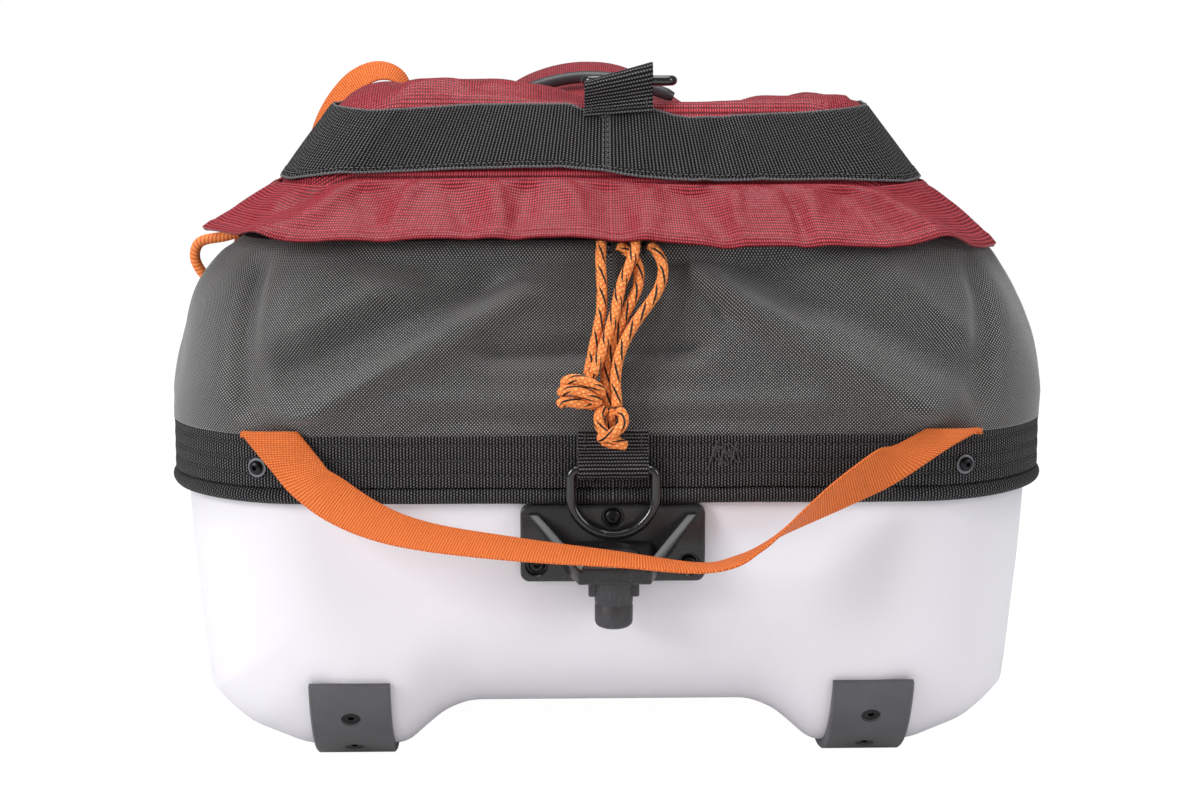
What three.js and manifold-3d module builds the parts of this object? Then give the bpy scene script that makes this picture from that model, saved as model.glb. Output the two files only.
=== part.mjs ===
// A covered freight pulk, in millimetres: a moulded hull on two runners, with a fabric riser and cover.
// x runs across, y forward from the stern wall at 0, z up from the ground. At the end the whole sled is
// moved so that its origin lies on the ground under the middle of its box.
import * as THREE from "three";
import { mergeVertices } from "three/addons/utils/BufferGeometryUtils.js";
import Module from "manifold-3d";

const wasm = await Module();
wasm.setup();

// Clearances
const gap = 0.3;
const overrun = 2;
const weld = 0.001;

// Hull
const hullLength = 1440;
const hullWidth = 574;
const rimHeight = 226;
const hullWall = 4;
const planCorner = 100;
const sternRadius = 95;
const bowLength = 470;
const bowRiseLength = 560;
const bowRise = 205;
const sheerLength = 620;
const sheerRise = 55;
const tunnelWidth = 190;
const tunnelDepth = 30.5;
const keelInsideWidth = 276;
const keelOutsideWidth = 404;
const chineWidth = 544;
const chineHeight = 42;
const wallFootWidth = 548;
const wallFootHeight = 56;
const wallBulge = 1.5;

// Runners and their screws
const runnerWidth = 53;
const runnerTrack = 343;
const runnerThickness = 6;
const runnerReach = 1250;
const countersinkRadius = 6;
const countersinkDepth = 3.5;
const headRecess = 0.5;
const runnerShankRadius = 2.7;
const nutRadius = 5.5;
const nutHeight = 4.6;
const threadEnd = 2;

// Band, binding and rim bolts
const skirtThickness = 2;
const skirtGap = 0.5;
const bandThickness = 3.5;
const bandGap = 0.4;
const bandBottom = 200.4;
const bandTop = 234;
const bindingHeight = 10.2;
const bindingDepth = 8;
const bindingGap = 0.4;
const rimBoltHeight = 213.4;
const rimBoltHeadRadius = 4.9;
const rimBoltHeadHeight = 3.4;
const rimBoltShankRadius = 2.4;
const washerRadius = 6.4;
const washerThickness = 1.2;

// Riser, closure and cover, from the rim up. Each row has the half width as a share of the hull's, the
// distance of the rear face ahead of the stern wall, the front's set-back and the corner radius as shares
// of the hull's corner radius, and the height as a share of the cover's.
const fabric = 2;
const coverHeight = 441;
const riserShares = [
  [1.024, -0.06, -0.06, 1.06, 0.5533],
  [1.019, -0.05, -0.05, 1.05, 0.585],
  [0.993, 0.04, 0.06, 0.98, 0.6599],
  [0.955, 0.14, 0.18, 0.88, 0.7256],
  [0.895, 0.26, 0.35, 0.74, 0.7823],
  [0.85, 0.34, 0.48, 0.64, 0.8073],
];
const coverShares = [
  [0.838, 0.37, 0.52, 0.62, 0.8204],
  [0.756, 0.55, 1.3, 0.5, 0.8912],
  [0.631, 0.72, 2.3, 0.42, 1],
  [0.575, 0.88, 2.5, 0.5, 0.9966],
  [0.436, 1.3, 3, 0.6, 0.9909],
  [0.279, 1.9, 3.5, 0.6, 0.9841],
  [0.139, 2.4, 4, 0.4, 0.9796],
  [0, 2.9, 4.5, 0, 0.9773],
];
const flapTopShares = [0.775, 0.5, 1.08, 0.53];
const flapHemShares = [0.944, 0.15, 0.26, 0.84];
const flapSeam = 2.5;
const flapDepth = 33;
const settleStart = 380;
const settleEnd = 1320;
const puff = { x: -103, y: 140, across: 78, along: 78, height: 21 };
const crest = { x: -14, y: 680, across: 85, along: 203, height: 49 };
const zipThickness = 2.4;
const zipHeight = 5;
const webbingThickness = 2.6;
const webbingGap = 0.8;
const webbingInset = 0.5;

// D-rings and their tabs
const ringWire = 3.4;
const ringHalf = 27.3;
const ringDrop = 42.3;
const ringCorner = 4.6;
const barClearance = 0.7;
const tabWall = 2;
const tabPlate = 4.5;
const tabTaper = 14;
const tabWidth = 45;
const tabBarHeight = 213;
const tabTop = 239;
const towTabPlace = 883;
const topRingHalf = 31;
const topRingDrop = 40;
const topRingShift = 4;
const topTabPlace = 6;
const topTabBarRise = 15.5;
const topTabPlateLength = 22;

// Rear bracket, its screws, backing plate and coupling plug
const bracketWidth = 119;
const bracketBottom = 139;
const bracketTop = 189;
const bracketThickness = 7;
const bracketCorner = 6;
const prowDepth = 36;
const prowBottom = 145;
const prowRootHeight = 167;
const prowLipHeight = 154;
const prowRootWidth = 62;
const prowLipWidth = 46;
const finTopSpread = 51;
const finTopHeight = 184;
const finThickness = 7;
const boreAhead = 17.2;
const boreClearance = 0.5;
const headSeatHeight = 152.5;
const bracketHoleSpread = 49;
const bracketLowHole = 150;
const bracketTopHole = 181;
const bracketHoleRadius = 6.8;
const bracketHoleDepth = 4;
const bracketHeadRadius = 5.5;
const bracketHeadHeight = 3.3;
const bracketShankRadius = 2.9;
const backingWidth = 116;
const backingBottom = 142;
const backingThickness = 6;
const plugRadius = 12.2;
const plugBottom = 113.5;
const plugHeadRadius = 16;
const plugHeadHeight = 9;
const plugEdge = 2.5;
const lugReach = 16.2;
const lugWidth = 7;
const lugBottom = 133.6;

// Grab strap, shoulder strap, side loops, handle
const strapWidth = 29;
const strapThickness = 1.8;
const foldWidth = 37;
const foldHeight = 2.4;
const strapEnd = { reach: 219, out: 8.5, rise: 1.3 };
const strapSag = 62;
const strapDrop = 78;
const loopWire = 3.2;
const loopSpread = 6;
const leftLoop = { place: 150, reach: 34.3, drop: 23 };
const rightLoop = { place: 200, reach: 39.3, drop: 51 };
const loopAnchorDrop = 3;
const loopAnchorOut = 6.2;
const handleWire = 5;
const handleSpan = 66;
const handlePlace = 480;
const handleRise = 4;
const shoulderPlace = 300;
const shoulderFootRise = 6.5;
const shoulderHead = 140;
const shoulderTurn = THREE.MathUtils.degToRad(34);

// Closing cords, their rings and knots
const cordRadius = 3.5;
const pullRingRadius = 2.9;
const pullRingWire = 1.2;
const pullRingPlace = 24;
const sliderWidth = 10;
const sliderDepth = 9.5;
const sliderHeight = 7;

// Pure numbers: counts, exponents and shares
const bowFullness = 2.3;
const bowCurve = 2.2;
const bowFlatten = 0.567;
const cornerSteps = 6;
const sideSteps = 5;
const bowSteps = 9;
const sternSteps = 6;
const roundSides = 12;
const wireSides = 8;
const quarter = Math.PI / 2;
const shoulderShares = [
  [0.4, 0.76],
  [0.68, 0.42],
];
const bilgeShares = [
  [0.14, 0.05],
  [0.61, 0.37],
  [0.8, 0.63],
  [0.94, 0.88],
];
const noseShare = 0.88;
const runnerTopShare = 0.3;
const runnerScrewShares = [
  [2, 0.3],
  [3, 0.8],
  [13, 0.36],
];
const rimBoltSteps = 1;
// The grab strap between its ends: across, out from the stern wall and down, as shares of the ends'
// spread, of the sag and of the drop, with the twist in degrees
const strapShares = [
  [-0.927, 0.226, 0.244, 8],
  [-0.863, 0.339, 0.423, 25],
  [-0.717, 0.5, 0.654, 52],
  [-0.553, 0.661, 0.782, 66],
  [-0.288, 0.871, 0.859, 74],
  [0, 1, 0.923, 84],
  [0.256, 0.984, 1, 92],
  [0.388, 0.839, 0.91, 105],
  [0.521, 0.645, 0.692, 125],
  [0.662, 0.468, 0.474, 150],
  [0.813, 0.306, 0.256, 170],
];
// The side loops' strands, as shares of their reach and of their drop
const leftLoopShares = [
  [0.242, 0.326],
  [0.621, 0.652],
  [1, 1],
];
const rightLoopShares = [
  [0.313, 0.196],
  [0.695, 0.588],
  [1, 1],
];

const hullHalf = hullWidth / 2;
const keelHeight = runnerThickness + gap;
const skirtOut = skirtGap + skirtThickness;
const bandIn = skirtOut + bandGap;
const bandOut = bandIn + bandThickness;
const holeRadius = (shank) => shank + gap;

const level = ([half, rear, setBack, corner], height) => ({
  half: half * hullHalf,
  rear: rear * planCorner,
  setBack: setBack * planCorner,
  corner: corner * planCorner,
  height,
});
const riserLevels = riserShares.map((row) => level(row, row[4] * coverHeight));
const coverLevels = coverShares.map((row) => level(row, row[4] * coverHeight));
const webbingBottom = coverLevels[1].height + webbingInset;
const webbingTop = coverLevels[2].height - webbingInset;
const flapTop = level(flapTopShares, webbingBottom - flapSeam);
const flapHem = level(flapHemShares, flapTop.height - flapDepth);

const finishes = {
  hull: new THREE.MeshStandardMaterial({ color: 0xe6e3ec, roughness: 0.28, metalness: 0 }),
  runner: new THREE.MeshStandardMaterial({ color: 0x2e2e30, roughness: 0.6, metalness: 0 }),
  steel: new THREE.MeshStandardMaterial({ color: 0x8e9094, roughness: 0.35, metalness: 1 }),
  blackSteel: new THREE.MeshStandardMaterial({ color: 0x17171a, roughness: 0.35, metalness: 0.3 }),
  webbing: new THREE.MeshStandardMaterial({ color: 0x1c1c1f, roughness: 0.85, metalness: 0 }),
  riser: new THREE.MeshStandardMaterial({ color: 0x4c4c4a, roughness: 0.8, metalness: 0 }),
  cover: new THREE.MeshStandardMaterial({ color: 0xa8323a, roughness: 0.75, metalness: 0 }),
  moulded: new THREE.MeshStandardMaterial({ color: 0x1d1a1c, roughness: 0.4, metalness: 0 }),
  plug: new THREE.MeshStandardMaterial({ color: 0x3a3a3f, roughness: 0.5, metalness: 0 }),
  strap: new THREE.MeshStandardMaterial({ color: 0xf26a21, roughness: 0.8, metalness: 0 }),
  cord: new THREE.MeshStandardMaterial({ color: 0xf4822c, roughness: 0.8, metalness: 0 }),
};

const sled = new THREE.Group();

function add(name, geometry, material) {
  const mesh = new THREE.Mesh(geometry, material);
  mesh.name = name;
  sled.add(mesh);
  return mesh;
}

// One mesh for each fastener of a row, numbered from 1.
function addEach(name, places, make, material) {
  places.forEach((place, i) => add(`${name}_${i + 1}`, make(place), material));
}

// Closed solids from triangles, loops and booleans

function signedVolume(geometry) {
  const p = geometry.getAttribute("position");
  const index = geometry.index.array;
  const [a, b, c] = [new THREE.Vector3(), new THREE.Vector3(), new THREE.Vector3()];
  let sum = 0;
  for (let i = 0; i < index.length; i += 3) {
    a.fromBufferAttribute(p, index[i]);
    b.fromBufferAttribute(p, index[i + 1]);
    c.fromBufferAttribute(p, index[i + 2]);
    sum += a.dot(b.cross(c)) / 6;
  }
  return sum;
}

// Merges shared corners, drops faces that have shrunk to a line, and turns the faces outwards.
function closed(geometry) {
  const bare = geometry.index ? geometry.toNonIndexed() : geometry.clone();
  bare.deleteAttribute("normal");
  bare.deleteAttribute("uv");
  const merged = mergeVertices(bare, weld);
  const kept = [];
  const all = merged.index.array;
  for (let i = 0; i < all.length; i += 3) {
    const [a, b, c] = [all[i], all[i + 1], all[i + 2]];
    if (a !== b && b !== c && c !== a) kept.push(a, b, c);
  }
  merged.setIndex(kept);
  if (signedVolume(merged) < 0) {
    for (let i = 0; i < kept.length; i += 3) [kept[i + 1], kept[i + 2]] = [kept[i + 2], kept[i + 1]];
    merged.setIndex(kept);
  }
  merged.computeVertexNormals();
  return merged;
}

function fromTriangles(triangles) {
  const geometry = new THREE.BufferGeometry();
  geometry.setFromPoints(triangles.flat());
  return closed(geometry);
}

// A skin over loops with the same number of points. "capped" closes both ends, "joined" runs the last
// loop on into the first, and "pinched" is for loops that shrink to a line at both ends.
// From the span flipFrom on, each quad is split along its other diagonal, so a shell's two faces match.
function skin(loops, ends, flipFrom = Infinity) {
  const triangles = [];
  const count = loops[0].length;
  const spans = ends === "joined" ? loops.length : loops.length - 1;
  for (let i = 0; i < spans; i++) {
    const a = loops[i];
    const b = loops[(i + 1) % loops.length];
    for (let j = 0; j < count; j++) {
      const k = (j + 1) % count;
      if (i < flipFrom) triangles.push([a[j], a[k], b[k]], [a[j], b[k], b[j]]);
      else triangles.push([a[j], a[k], b[j]], [a[k], b[k], b[j]]);
    }
  }
  if (ends === "capped") {
    const first = loops[0];
    const last = loops[loops.length - 1];
    for (let j = 1; j < count - 1; j++) {
      triangles.push([first[0], first[j + 1], first[j]], [last[0], last[j], last[j + 1]]);
    }
  }
  return fromTriangles(triangles);
}

function toSolid(geometry) {
  const { index, attributes } = closed(geometry);
  return new wasm.Manifold(
    new wasm.Mesh({
      numProp: 3,
      vertProperties: new Float32Array(attributes.position.array),
      triVerts: new Uint32Array(index.array),
    }),
  );
}

function fromSolid(solid) {
  const { vertProperties, triVerts } = solid.getMesh();
  const geometry = new THREE.BufferGeometry();
  geometry.setAttribute("position", new THREE.BufferAttribute(vertProperties, 3));
  geometry.setIndex(Array.from(triVerts));
  geometry.computeVertexNormals();
  return geometry;
}

function cut(geometry, tools) {
  return fromSolid(tools.reduce((solid, tool) => solid.subtract(toSolid(tool)), toSolid(geometry)));
}

function join(geometries) {
  return fromSolid(geometries.map(toSolid).reduce((solid, next) => solid.add(next)));
}

// A turned shape from [radius, height] pairs, set with its axis along a direction through a point.
function turned(profile, point, direction, sides = roundSides) {
  const geometry = new THREE.LatheGeometry(profile.map(([r, h]) => new THREE.Vector2(r, h)), sides);
  const turn = new THREE.Quaternion().setFromUnitVectors(new THREE.Vector3(0, 1, 0), direction);
  return closed(geometry.applyQuaternion(turn).translate(point.x, point.y, point.z));
}

// A block from its low corner to its high corner.
function block(low, high) {
  const size = high.clone().sub(low);
  const middle = high.clone().add(low).multiplyScalar(1 / 2);
  return new THREE.BoxGeometry(size.x, size.y, size.z).translate(middle.x, middle.y, middle.z);
}

// A round wire bent along a closed path in one plane.
function wireLoop(points, planeNormal, radius) {
  const loops = points.map((point, i) => {
    const before = points[(i + points.length - 1) % points.length];
    const after = points[(i + 1) % points.length];
    const side = after.clone().sub(before).normalize().cross(planeNormal);
    return Array.from({ length: wireSides }, (_, j) => {
      const a = (j / wireSides) * 2 * Math.PI;
      return point
        .clone()
        .addScaledVector(side, radius * Math.cos(a))
        .addScaledVector(planeNormal, radius * Math.sin(a));
    });
  });
  return skin(loops, "joined");
}

// A round cord along an open path.
function cordAlong(points, radius, steps) {
  const round = Array.from({ length: wireSides }, (_, j) => {
    const a = (j / wireSides) * 2 * Math.PI;
    return new THREE.Vector2(radius * Math.cos(a), radius * Math.sin(a));
  });
  const extrudePath = new THREE.CatmullRomCurve3(points);
  return closed(new THREE.ExtrudeGeometry(new THREE.Shape(round), { steps, bevelEnabled: false, extrudePath }));
}

// A flat strap: each station has a middle point and a vector to half its width.
function strapAlong(stations, thickness) {
  const loops = stations.map(({ point, half }, i) => {
    const before = stations[Math.max(i - 1, 0)].point;
    const after = stations[Math.min(i + 1, stations.length - 1)].point;
    const along = after.clone().sub(before).normalize();
    const through = along.cross(half).setLength(thickness / 2);
    return [
      point.clone().add(half).add(through),
      point.clone().sub(half).add(through),
      point.clone().sub(half).sub(through),
      point.clone().add(half).sub(through),
    ];
  });
  return skin(loops, "capped");
}

// Plan outlines and heights

function sheer(y) {
  const share = Math.max(0, (y - (hullLength - sheerLength)) / sheerLength);
  return sheerRise * share ** 2;
}

const alongRim = (height) => (x, y) => height + sheer(y);

// The load and cover keep their height amidships and come down towards the bow.
const aboveRim = (height) => (x, y) => {
  const fall = bowFlatten * THREE.MathUtils.smoothstep(y, settleStart, settleEnd);
  return bandTop + sheer(y) + (height - bandTop) * (1 - fall);
};

function mound({ x: middleX, y: middleY, across, along, height }, x, y) {
  return height * Math.exp(-((((x - middleX) / across) ** 2 + ((y - middleY) / along) ** 2) ** 2));
}

// A level that keeps to the hull's rim, further out by the given distances.
function followRim(out, sternOut = out) {
  return {
    half: hullHalf + out,
    straight: hullHalf - planCorner,
    rear: -sternOut,
    cornerEnd: planCorner,
    front: hullLength + sternOut,
  };
}

// A level of its own, further out or in by the given distance.
function ownLevel({ half, rear, setBack, corner }, out = 0) {
  return {
    half: Math.max(0, half + out),
    straight: half - corner,
    rear: rear - out,
    cornerEnd: rear + corner,
    front: hullLength - setBack + out,
  };
}

function blendLevels(low, high, height) {
  const share = (height - low.height) / (high.height - low.height);
  const mix = (key) => low[key] + share * (high[key] - low[key]);
  return { half: mix("half"), rear: mix("rear"), setBack: mix("setBack"), corner: mix("corner"), height };
}

// The starboard side of an outline, from the stern wall's end round the corner to the tip of the bow.
function planSide({ half, straight, rear, cornerEnd, front }) {
  const side = [];
  for (let i = 0; i <= cornerSteps; i++) {
    const a = (i / cornerSteps) * quarter;
    side.push([straight + (half - straight) * Math.sin(a), cornerEnd - (cornerEnd - rear) * Math.cos(a)]);
  }
  const bowStart = hullLength - bowLength;
  for (let i = 1; i < sideSteps; i++) side.push([half, cornerEnd + ((bowStart - cornerEnd) * i) / sideSteps]);
  for (let i = 0; i <= bowSteps; i++) {
    const a = (i / bowSteps) * quarter;
    const across = i === bowSteps ? 0 : Math.cos(a) ** (2 / bowFullness);
    side.push([half * across, bowStart + (front - bowStart) * Math.sin(a) ** (2 / bowFullness)]);
  }
  return side;
}

function ring(level, heightAt) {
  const side = planSide(level);
  const plan = [...side, ...side.slice(0, -1).reverse().map(([x, y]) => [-x, y])];
  for (let i = 1; i < sternSteps; i++) plan.push([level.straight * ((2 * i) / sternSteps - 1), level.rear]);
  return plan.map(([x, y]) => new THREE.Vector3(x, y, heightAt(x, y)));
}

// A ring of the cloth shells, moved along the cloth's slope by the given distance.
function shellRing(level, out, heightAt = aboveRim(level.height)) {
  return ring(ownLevel(level, out), (x, y) => heightAt(x, y) + out / 2);
}

// The middle of one straight span of an outline's starboard side, with its outward direction.
function spanMiddle(level, span, height, hand) {
  const side = planSide(level);
  const [x1, y1] = side[span];
  const [x2, y2] = side[span + 1];
  const outward = new THREE.Vector3(hand * (y2 - y1), x1 - x2, 0).normalize();
  const point = new THREE.Vector3((hand * (x1 + x2)) / 2, (y1 + y2) / 2, height + sheer((y1 + y2) / 2));
  return { point, outward };
}

// Hull

// Half of the hull's section, from the middle of the bottom out and up to the rim, above the keels.
function hullSection() {
  const tunnelHalf = tunnelWidth / 2;
  const insideHalf = keelInsideWidth / 2;
  const outsideHalf = keelOutsideWidth / 2;
  const chineHalf = chineWidth / 2;
  const footHalf = wallFootWidth / 2;
  const rimRise = rimHeight - keelHeight;
  return [
    [0, tunnelDepth],
    [tunnelHalf, tunnelDepth],
    ...shoulderShares.map(([x, z]) => [tunnelHalf + x * (insideHalf - tunnelHalf), z * tunnelDepth]),
    [insideHalf, 0],
    [outsideHalf, 0],
    ...bilgeShares.map(([x, z]) => [outsideHalf + x * (chineHalf - outsideHalf), z * chineHeight]),
    [chineHalf, chineHeight],
    [footHalf, wallFootHeight],
    [(footHalf + hullHalf) / 2 + wallBulge, (wallFootHeight + rimRise) / 2],
    [hullHalf, rimRise],
  ];
}

// The same section, moved in by the wall.
function insetSection(section, distance) {
  const last = section.length - 1;
  return section.map(([x, z], i) => {
    const before = section[Math.max(i - 1, 0)];
    const after = section[Math.min(i + 1, last)];
    const run = Math.hypot(after[0] - before[0], after[1] - before[1]);
    const inset = [x - (distance * (after[1] - before[1])) / run, z + (distance * (after[0] - before[0])) / run];
    return i === last ? [inset[0], z] : inset;
  });
}

function bottomLift(y, rear, radius) {
  const arc = Math.max(0, radius - (y - rear));
  const climb = Math.max(0, (y - (hullLength - bowRiseLength)) / bowRiseLength);
  return radius - Math.sqrt(radius ** 2 - arc ** 2) + bowRise * climb ** bowCurve;
}

// One station of the hull: the section, drawn in to the plan's reach and raised off the ground line.
function hullStation(section, reach, y, rear, radius) {
  const full = section[section.length - 1][0];
  const fixed = y < planCorner ? keelInsideWidth / 2 : 0;
  const base = keelHeight + bottomLift(y, rear, radius);
  const top = rimHeight + sheer(y);
  return section.map(([x, z]) => {
    const across = x <= fixed ? x : fixed + ((x - fixed) * (reach - fixed)) / (full - fixed);
    return new THREE.Vector3(across, y, base + (z / (rimHeight - keelHeight)) * (top - base));
  });
}

function hullSurface(section, level, radius) {
  const side = planSide(level);
  const [tipX, tipY] = side.pop();
  const [lastX, lastY] = side[side.length - 1];
  side.push([lastX + noseShare * (tipX - lastX), lastY + noseShare * (tipY - lastY)]);
  return side.map(([reach, y]) => {
    const half = hullStation(section, reach, y, level.rear, radius);
    const mirrored = half.slice(1).reverse().map((p) => new THREE.Vector3(-p.x, p.y, p.z));
    return [...mirrored, ...half];
  });
}

function hullShell() {
  const section = hullSection();
  const outer = hullSurface(section, followRim(0), sternRadius);
  const inner = hullSurface(insetSection(section, hullWall), followRim(-hullWall), sternRadius - hullWall);
  const last = outer[0].length - 1;
  const triangles = [];
  for (let s = 0; s < outer.length - 1; s++) {
    for (let j = 0; j < last; j++) {
      triangles.push([outer[s][j], outer[s + 1][j], outer[s + 1][j + 1]]);
      triangles.push([outer[s][j], outer[s + 1][j + 1], outer[s][j + 1]]);
      triangles.push([inner[s][j], inner[s + 1][j + 1], inner[s + 1][j]]);
      triangles.push([inner[s][j], inner[s][j + 1], inner[s + 1][j + 1]]);
    }
    triangles.push([outer[s][last], outer[s + 1][last], inner[s + 1][last]]);
    triangles.push([outer[s][last], inner[s + 1][last], inner[s][last]]);
    triangles.push([outer[s][0], inner[s + 1][0], outer[s + 1][0]]);
    triangles.push([outer[s][0], inner[s][0], inner[s + 1][0]]);
  }
  // The flat stern wall and the narrow nose close the two ends.
  for (const [s, stern] of [[0, true], [outer.length - 1, false]]) {
    for (const [station, outside] of [[outer[s], true], [inner[s], false]]) {
      const contour = station.map((p) => new THREE.Vector2(p.x, p.z));
      for (const [a, b, c] of THREE.ShapeUtils.triangulateShape(contour, [])) {
        const [second, third] = stern === outside ? [b, c] : [c, b];
        triangles.push([station[a], station[second], station[third]]);
      }
    }
    const [a, b, c, d] = [outer[s][0], outer[s][last], inner[s][last], inner[s][0]];
    triangles.push(...(stern ? [[a, b, c], [a, c, d]] : [[a, c, b], [a, d, c]]));
  }
  return fromTriangles(triangles);
}

// Runners: strips that keep to the keels' line, from the stern wall down, along and up the bow

// The keel's line in the upright plane, with the share by which the bow draws it in.
function keelLine() {
  const stations = planSide(followRim(0)).map(([reach, y]) => ({
    y,
    z: keelHeight + bottomLift(y, 0, sternRadius),
    draw: y > planCorner ? reach / hullHalf : 1,
  }));
  const mix = (a, b, share) => ({
    y: a.y + share * (b.y - a.y),
    z: a.z + share * (b.z - a.z),
    draw: a.draw + share * (b.draw - a.draw),
  });
  const kept = stations.slice(2).filter(({ y }) => y <= runnerReach);
  return { stations, mix, path: [mix(stations[1], stations[2], runnerTopShare), ...kept] };
}

function downward(a, b) {
  const run = Math.hypot(b.y - a.y, b.z - a.z);
  return [(b.z - a.z) / run, -(b.y - a.y) / run];
}

function runnerStrip(hand) {
  const { path } = keelLine();
  const loops = path.map((station, i) => {
    const n1 = downward(path[Math.max(i - 1, 0)], path[Math.max(i, 1)]);
    const n2 = downward(path[Math.min(i, path.length - 2)], path[Math.min(i + 1, path.length - 1)]);
    const reach = 2 / ((n1[0] + n2[0]) ** 2 + (n1[1] + n2[1]) ** 2);
    const normal = [(n1[0] + n2[0]) * reach, (n1[1] + n2[1]) * reach];
    const corner = (across, out) =>
      new THREE.Vector3(
        hand * ((runnerTrack / 2) * station.draw + across),
        station.y + out * normal[0],
        station.z + out * normal[1],
      );
    return [
      corner(-runnerWidth / 2, gap),
      corner(runnerWidth / 2, gap),
      corner(runnerWidth / 2, gap + runnerThickness),
      corner(-runnerWidth / 2, gap + runnerThickness),
    ];
  });
  return skin(loops, "capped");
}

// The runner screws' places on the strip's outer face, with the direction out of it.
function runnerScrewPlaces(hand) {
  const { stations, mix } = keelLine();
  return runnerScrewShares.map(([span, share]) => {
    const at = mix(stations[span], stations[span + 1], share);
    const [ny, nz] = downward(stations[span], stations[span + 1]);
    const out = gap + runnerThickness;
    return {
      point: new THREE.Vector3((hand * runnerTrack * at.draw) / 2, at.y + out * ny, at.z + out * nz),
      outward: new THREE.Vector3(0, ny, nz),
    };
  });
}

const runnerNutSeat = runnerThickness + gap + hullWall + gap;
const runnerScrewLength = runnerNutSeat + nutHeight + threadEnd;

function runnerHole({ point, outward }) {
  const hole = holeRadius(runnerShankRadius);
  const mouth = countersinkRadius + gap;
  const depth = runnerScrewLength + overrun;
  const cone = countersinkDepth + headRecess;
  return turned([[0, -depth], [hole, -depth], [hole, -cone], [mouth, -headRecess], [mouth, overrun], [0, overrun]], point, outward);
}

function runnerScrew({ point, outward }) {
  const cone = countersinkDepth + headRecess;
  const shank = runnerShankRadius;
  const end = -runnerScrewLength;
  return turned([[0, end], [shank, end], [shank, -cone], [countersinkRadius, -headRecess], [0, -headRecess]], point, outward);
}

// A nut on a screw: its seat is the depth of its near face below the screw's place.
function nutOn({ point, outward }, seat, shank) {
  const bore = holeRadius(shank);
  const end = -seat - nutHeight;
  return turned([[bore, end], [nutRadius, end], [nutRadius, -seat], [bore, -seat], [bore, end]], point, outward);
}

const screwPlaces = { left: runnerScrewPlaces(-1), right: runnerScrewPlaces(1) };
const rimBoltPlaces = [-1, 1].map((hand) => spanMiddle(followRim(bandOut), rimBoltSteps, rimBoltHeight, hand));

const rimNutSeat = bandOut + hullWall + skirtGap + gap;
const rimBoltEnd = rimNutSeat + nutHeight + threadEnd;
const rimHoles = rimBoltPlaces.map(({ point, outward }) => {
  const hole = holeRadius(rimBoltShankRadius);
  const depth = rimBoltEnd + overrun;
  return turned([[0, -depth], [hole, -depth], [hole, overrun], [0, overrun]], point, outward, wireSides);
});

const astern = new THREE.Vector3(0, -1, 0);
const bracketFace = -gap - bracketThickness;
const bracketScrewPlaces = [
  [0, bracketTopHole],
  [-bracketHoleSpread, bracketLowHole],
  [bracketHoleSpread, bracketLowHole],
].map(([x, z]) => ({ point: new THREE.Vector3(x, bracketFace, z), outward: astern }));
const bracketScrewEnd = -bracketFace + hullWall + gap + backingThickness + threadEnd;
const bracketHoles = bracketScrewPlaces.map(({ point, outward }) => {
  const hole = holeRadius(bracketShankRadius);
  const floor = -bracketHoleDepth;
  const depth = bracketScrewEnd + overrun;
  const mouth = bracketHoleRadius;
  return turned([[0, -depth], [hole, -depth], [hole, floor], [mouth, floor], [mouth, overrun], [0, overrun]], point, outward);
});

const screwHoles = [...screwPlaces.left, ...screwPlaces.right].map(runnerHole);
add("hull", cut(hullShell(), [...screwHoles, ...rimHoles, ...bracketHoles]), finishes.hull);

for (const [side, hand] of [["left", -1], ["right", 1]]) {
  const places = screwPlaces[side];
  add(`runner_${side}`, cut(runnerStrip(hand), places.map(runnerHole)), finishes.runner);
  addEach(`runner_screw_${side}`, places, runnerScrew, finishes.steel);
  addEach(`runner_nut_${side}`, places, (place) => nutOn(place, runnerNutSeat, runnerShankRadius), finishes.steel);
}

// Rim band, its binding, and the bolts through band, skirt and hull

function sleeve(outerRings, innerRings) {
  return skin([...outerRings, ...innerRings.reverse()], "joined");
}

const bandRings = (out) => [bandBottom, bandTop].map((height) => ring(followRim(out), alongRim(height)));
add("rim_band", cut(sleeve(bandRings(bandOut), bandRings(bandIn)), rimHoles), finishes.webbing);

function bindingRings() {
  const middle = bandBottom - gap - bindingHeight / 2;
  return Array.from({ length: 6 }, (_, i) => {
    const a = (i / 6) * 2 * Math.PI;
    const out = bindingGap + (bindingDepth / 2) * (1 + Math.cos(a));
    return ring(followRim(out), alongRim(middle + (bindingHeight / 2) * Math.sin(a)));
  });
}
add("rim_binding", skin(bindingRings(), "joined"), finishes.webbing);

function rimBolt({ point, outward }) {
  const seat = gap + washerThickness + gap;
  const head = seat + rimBoltHeadHeight;
  const brow = (seat + head) / 2;
  const shank = rimBoltShankRadius;
  const crown = (2 * rimBoltHeadRadius) / 3;
  return turned(
    [[0, -rimBoltEnd], [shank, -rimBoltEnd], [shank, seat], [rimBoltHeadRadius, seat], [rimBoltHeadRadius, brow], [crown, head], [0, head]],
    point,
    outward,
  );
}

function rimWasher({ point, outward }) {
  const bore = holeRadius(rimBoltShankRadius);
  const top = gap + washerThickness;
  return turned([[bore, gap], [washerRadius, gap], [washerRadius, top], [bore, top], [bore, gap]], point, outward);
}

addEach("rim_bolt", rimBoltPlaces, rimBolt, finishes.blackSteel);
addEach("rim_washer", rimBoltPlaces, rimWasher, finishes.steel);
addEach("rim_nut", rimBoltPlaces, (place) => nutOn(place, rimNutSeat, rimBoltShankRadius), finishes.steel);

// Riser: the skirt between hull and band, then the sleeve up to the closure

function riserRings(thickness) {
  const skirt = [bandBottom + gap, bandTop].map((height) => ring(followRim(skirtOut - thickness), alongRim(height)));
  const wall = riserLevels.map((level) => shellRing(level, -thickness));
  return [...skirt, ...wall];
}
add("riser", cut(sleeve(riserRings(0), riserRings(fabric)), rimHoles), finishes.riser);

// The zip between riser and cover, under the flap

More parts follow.
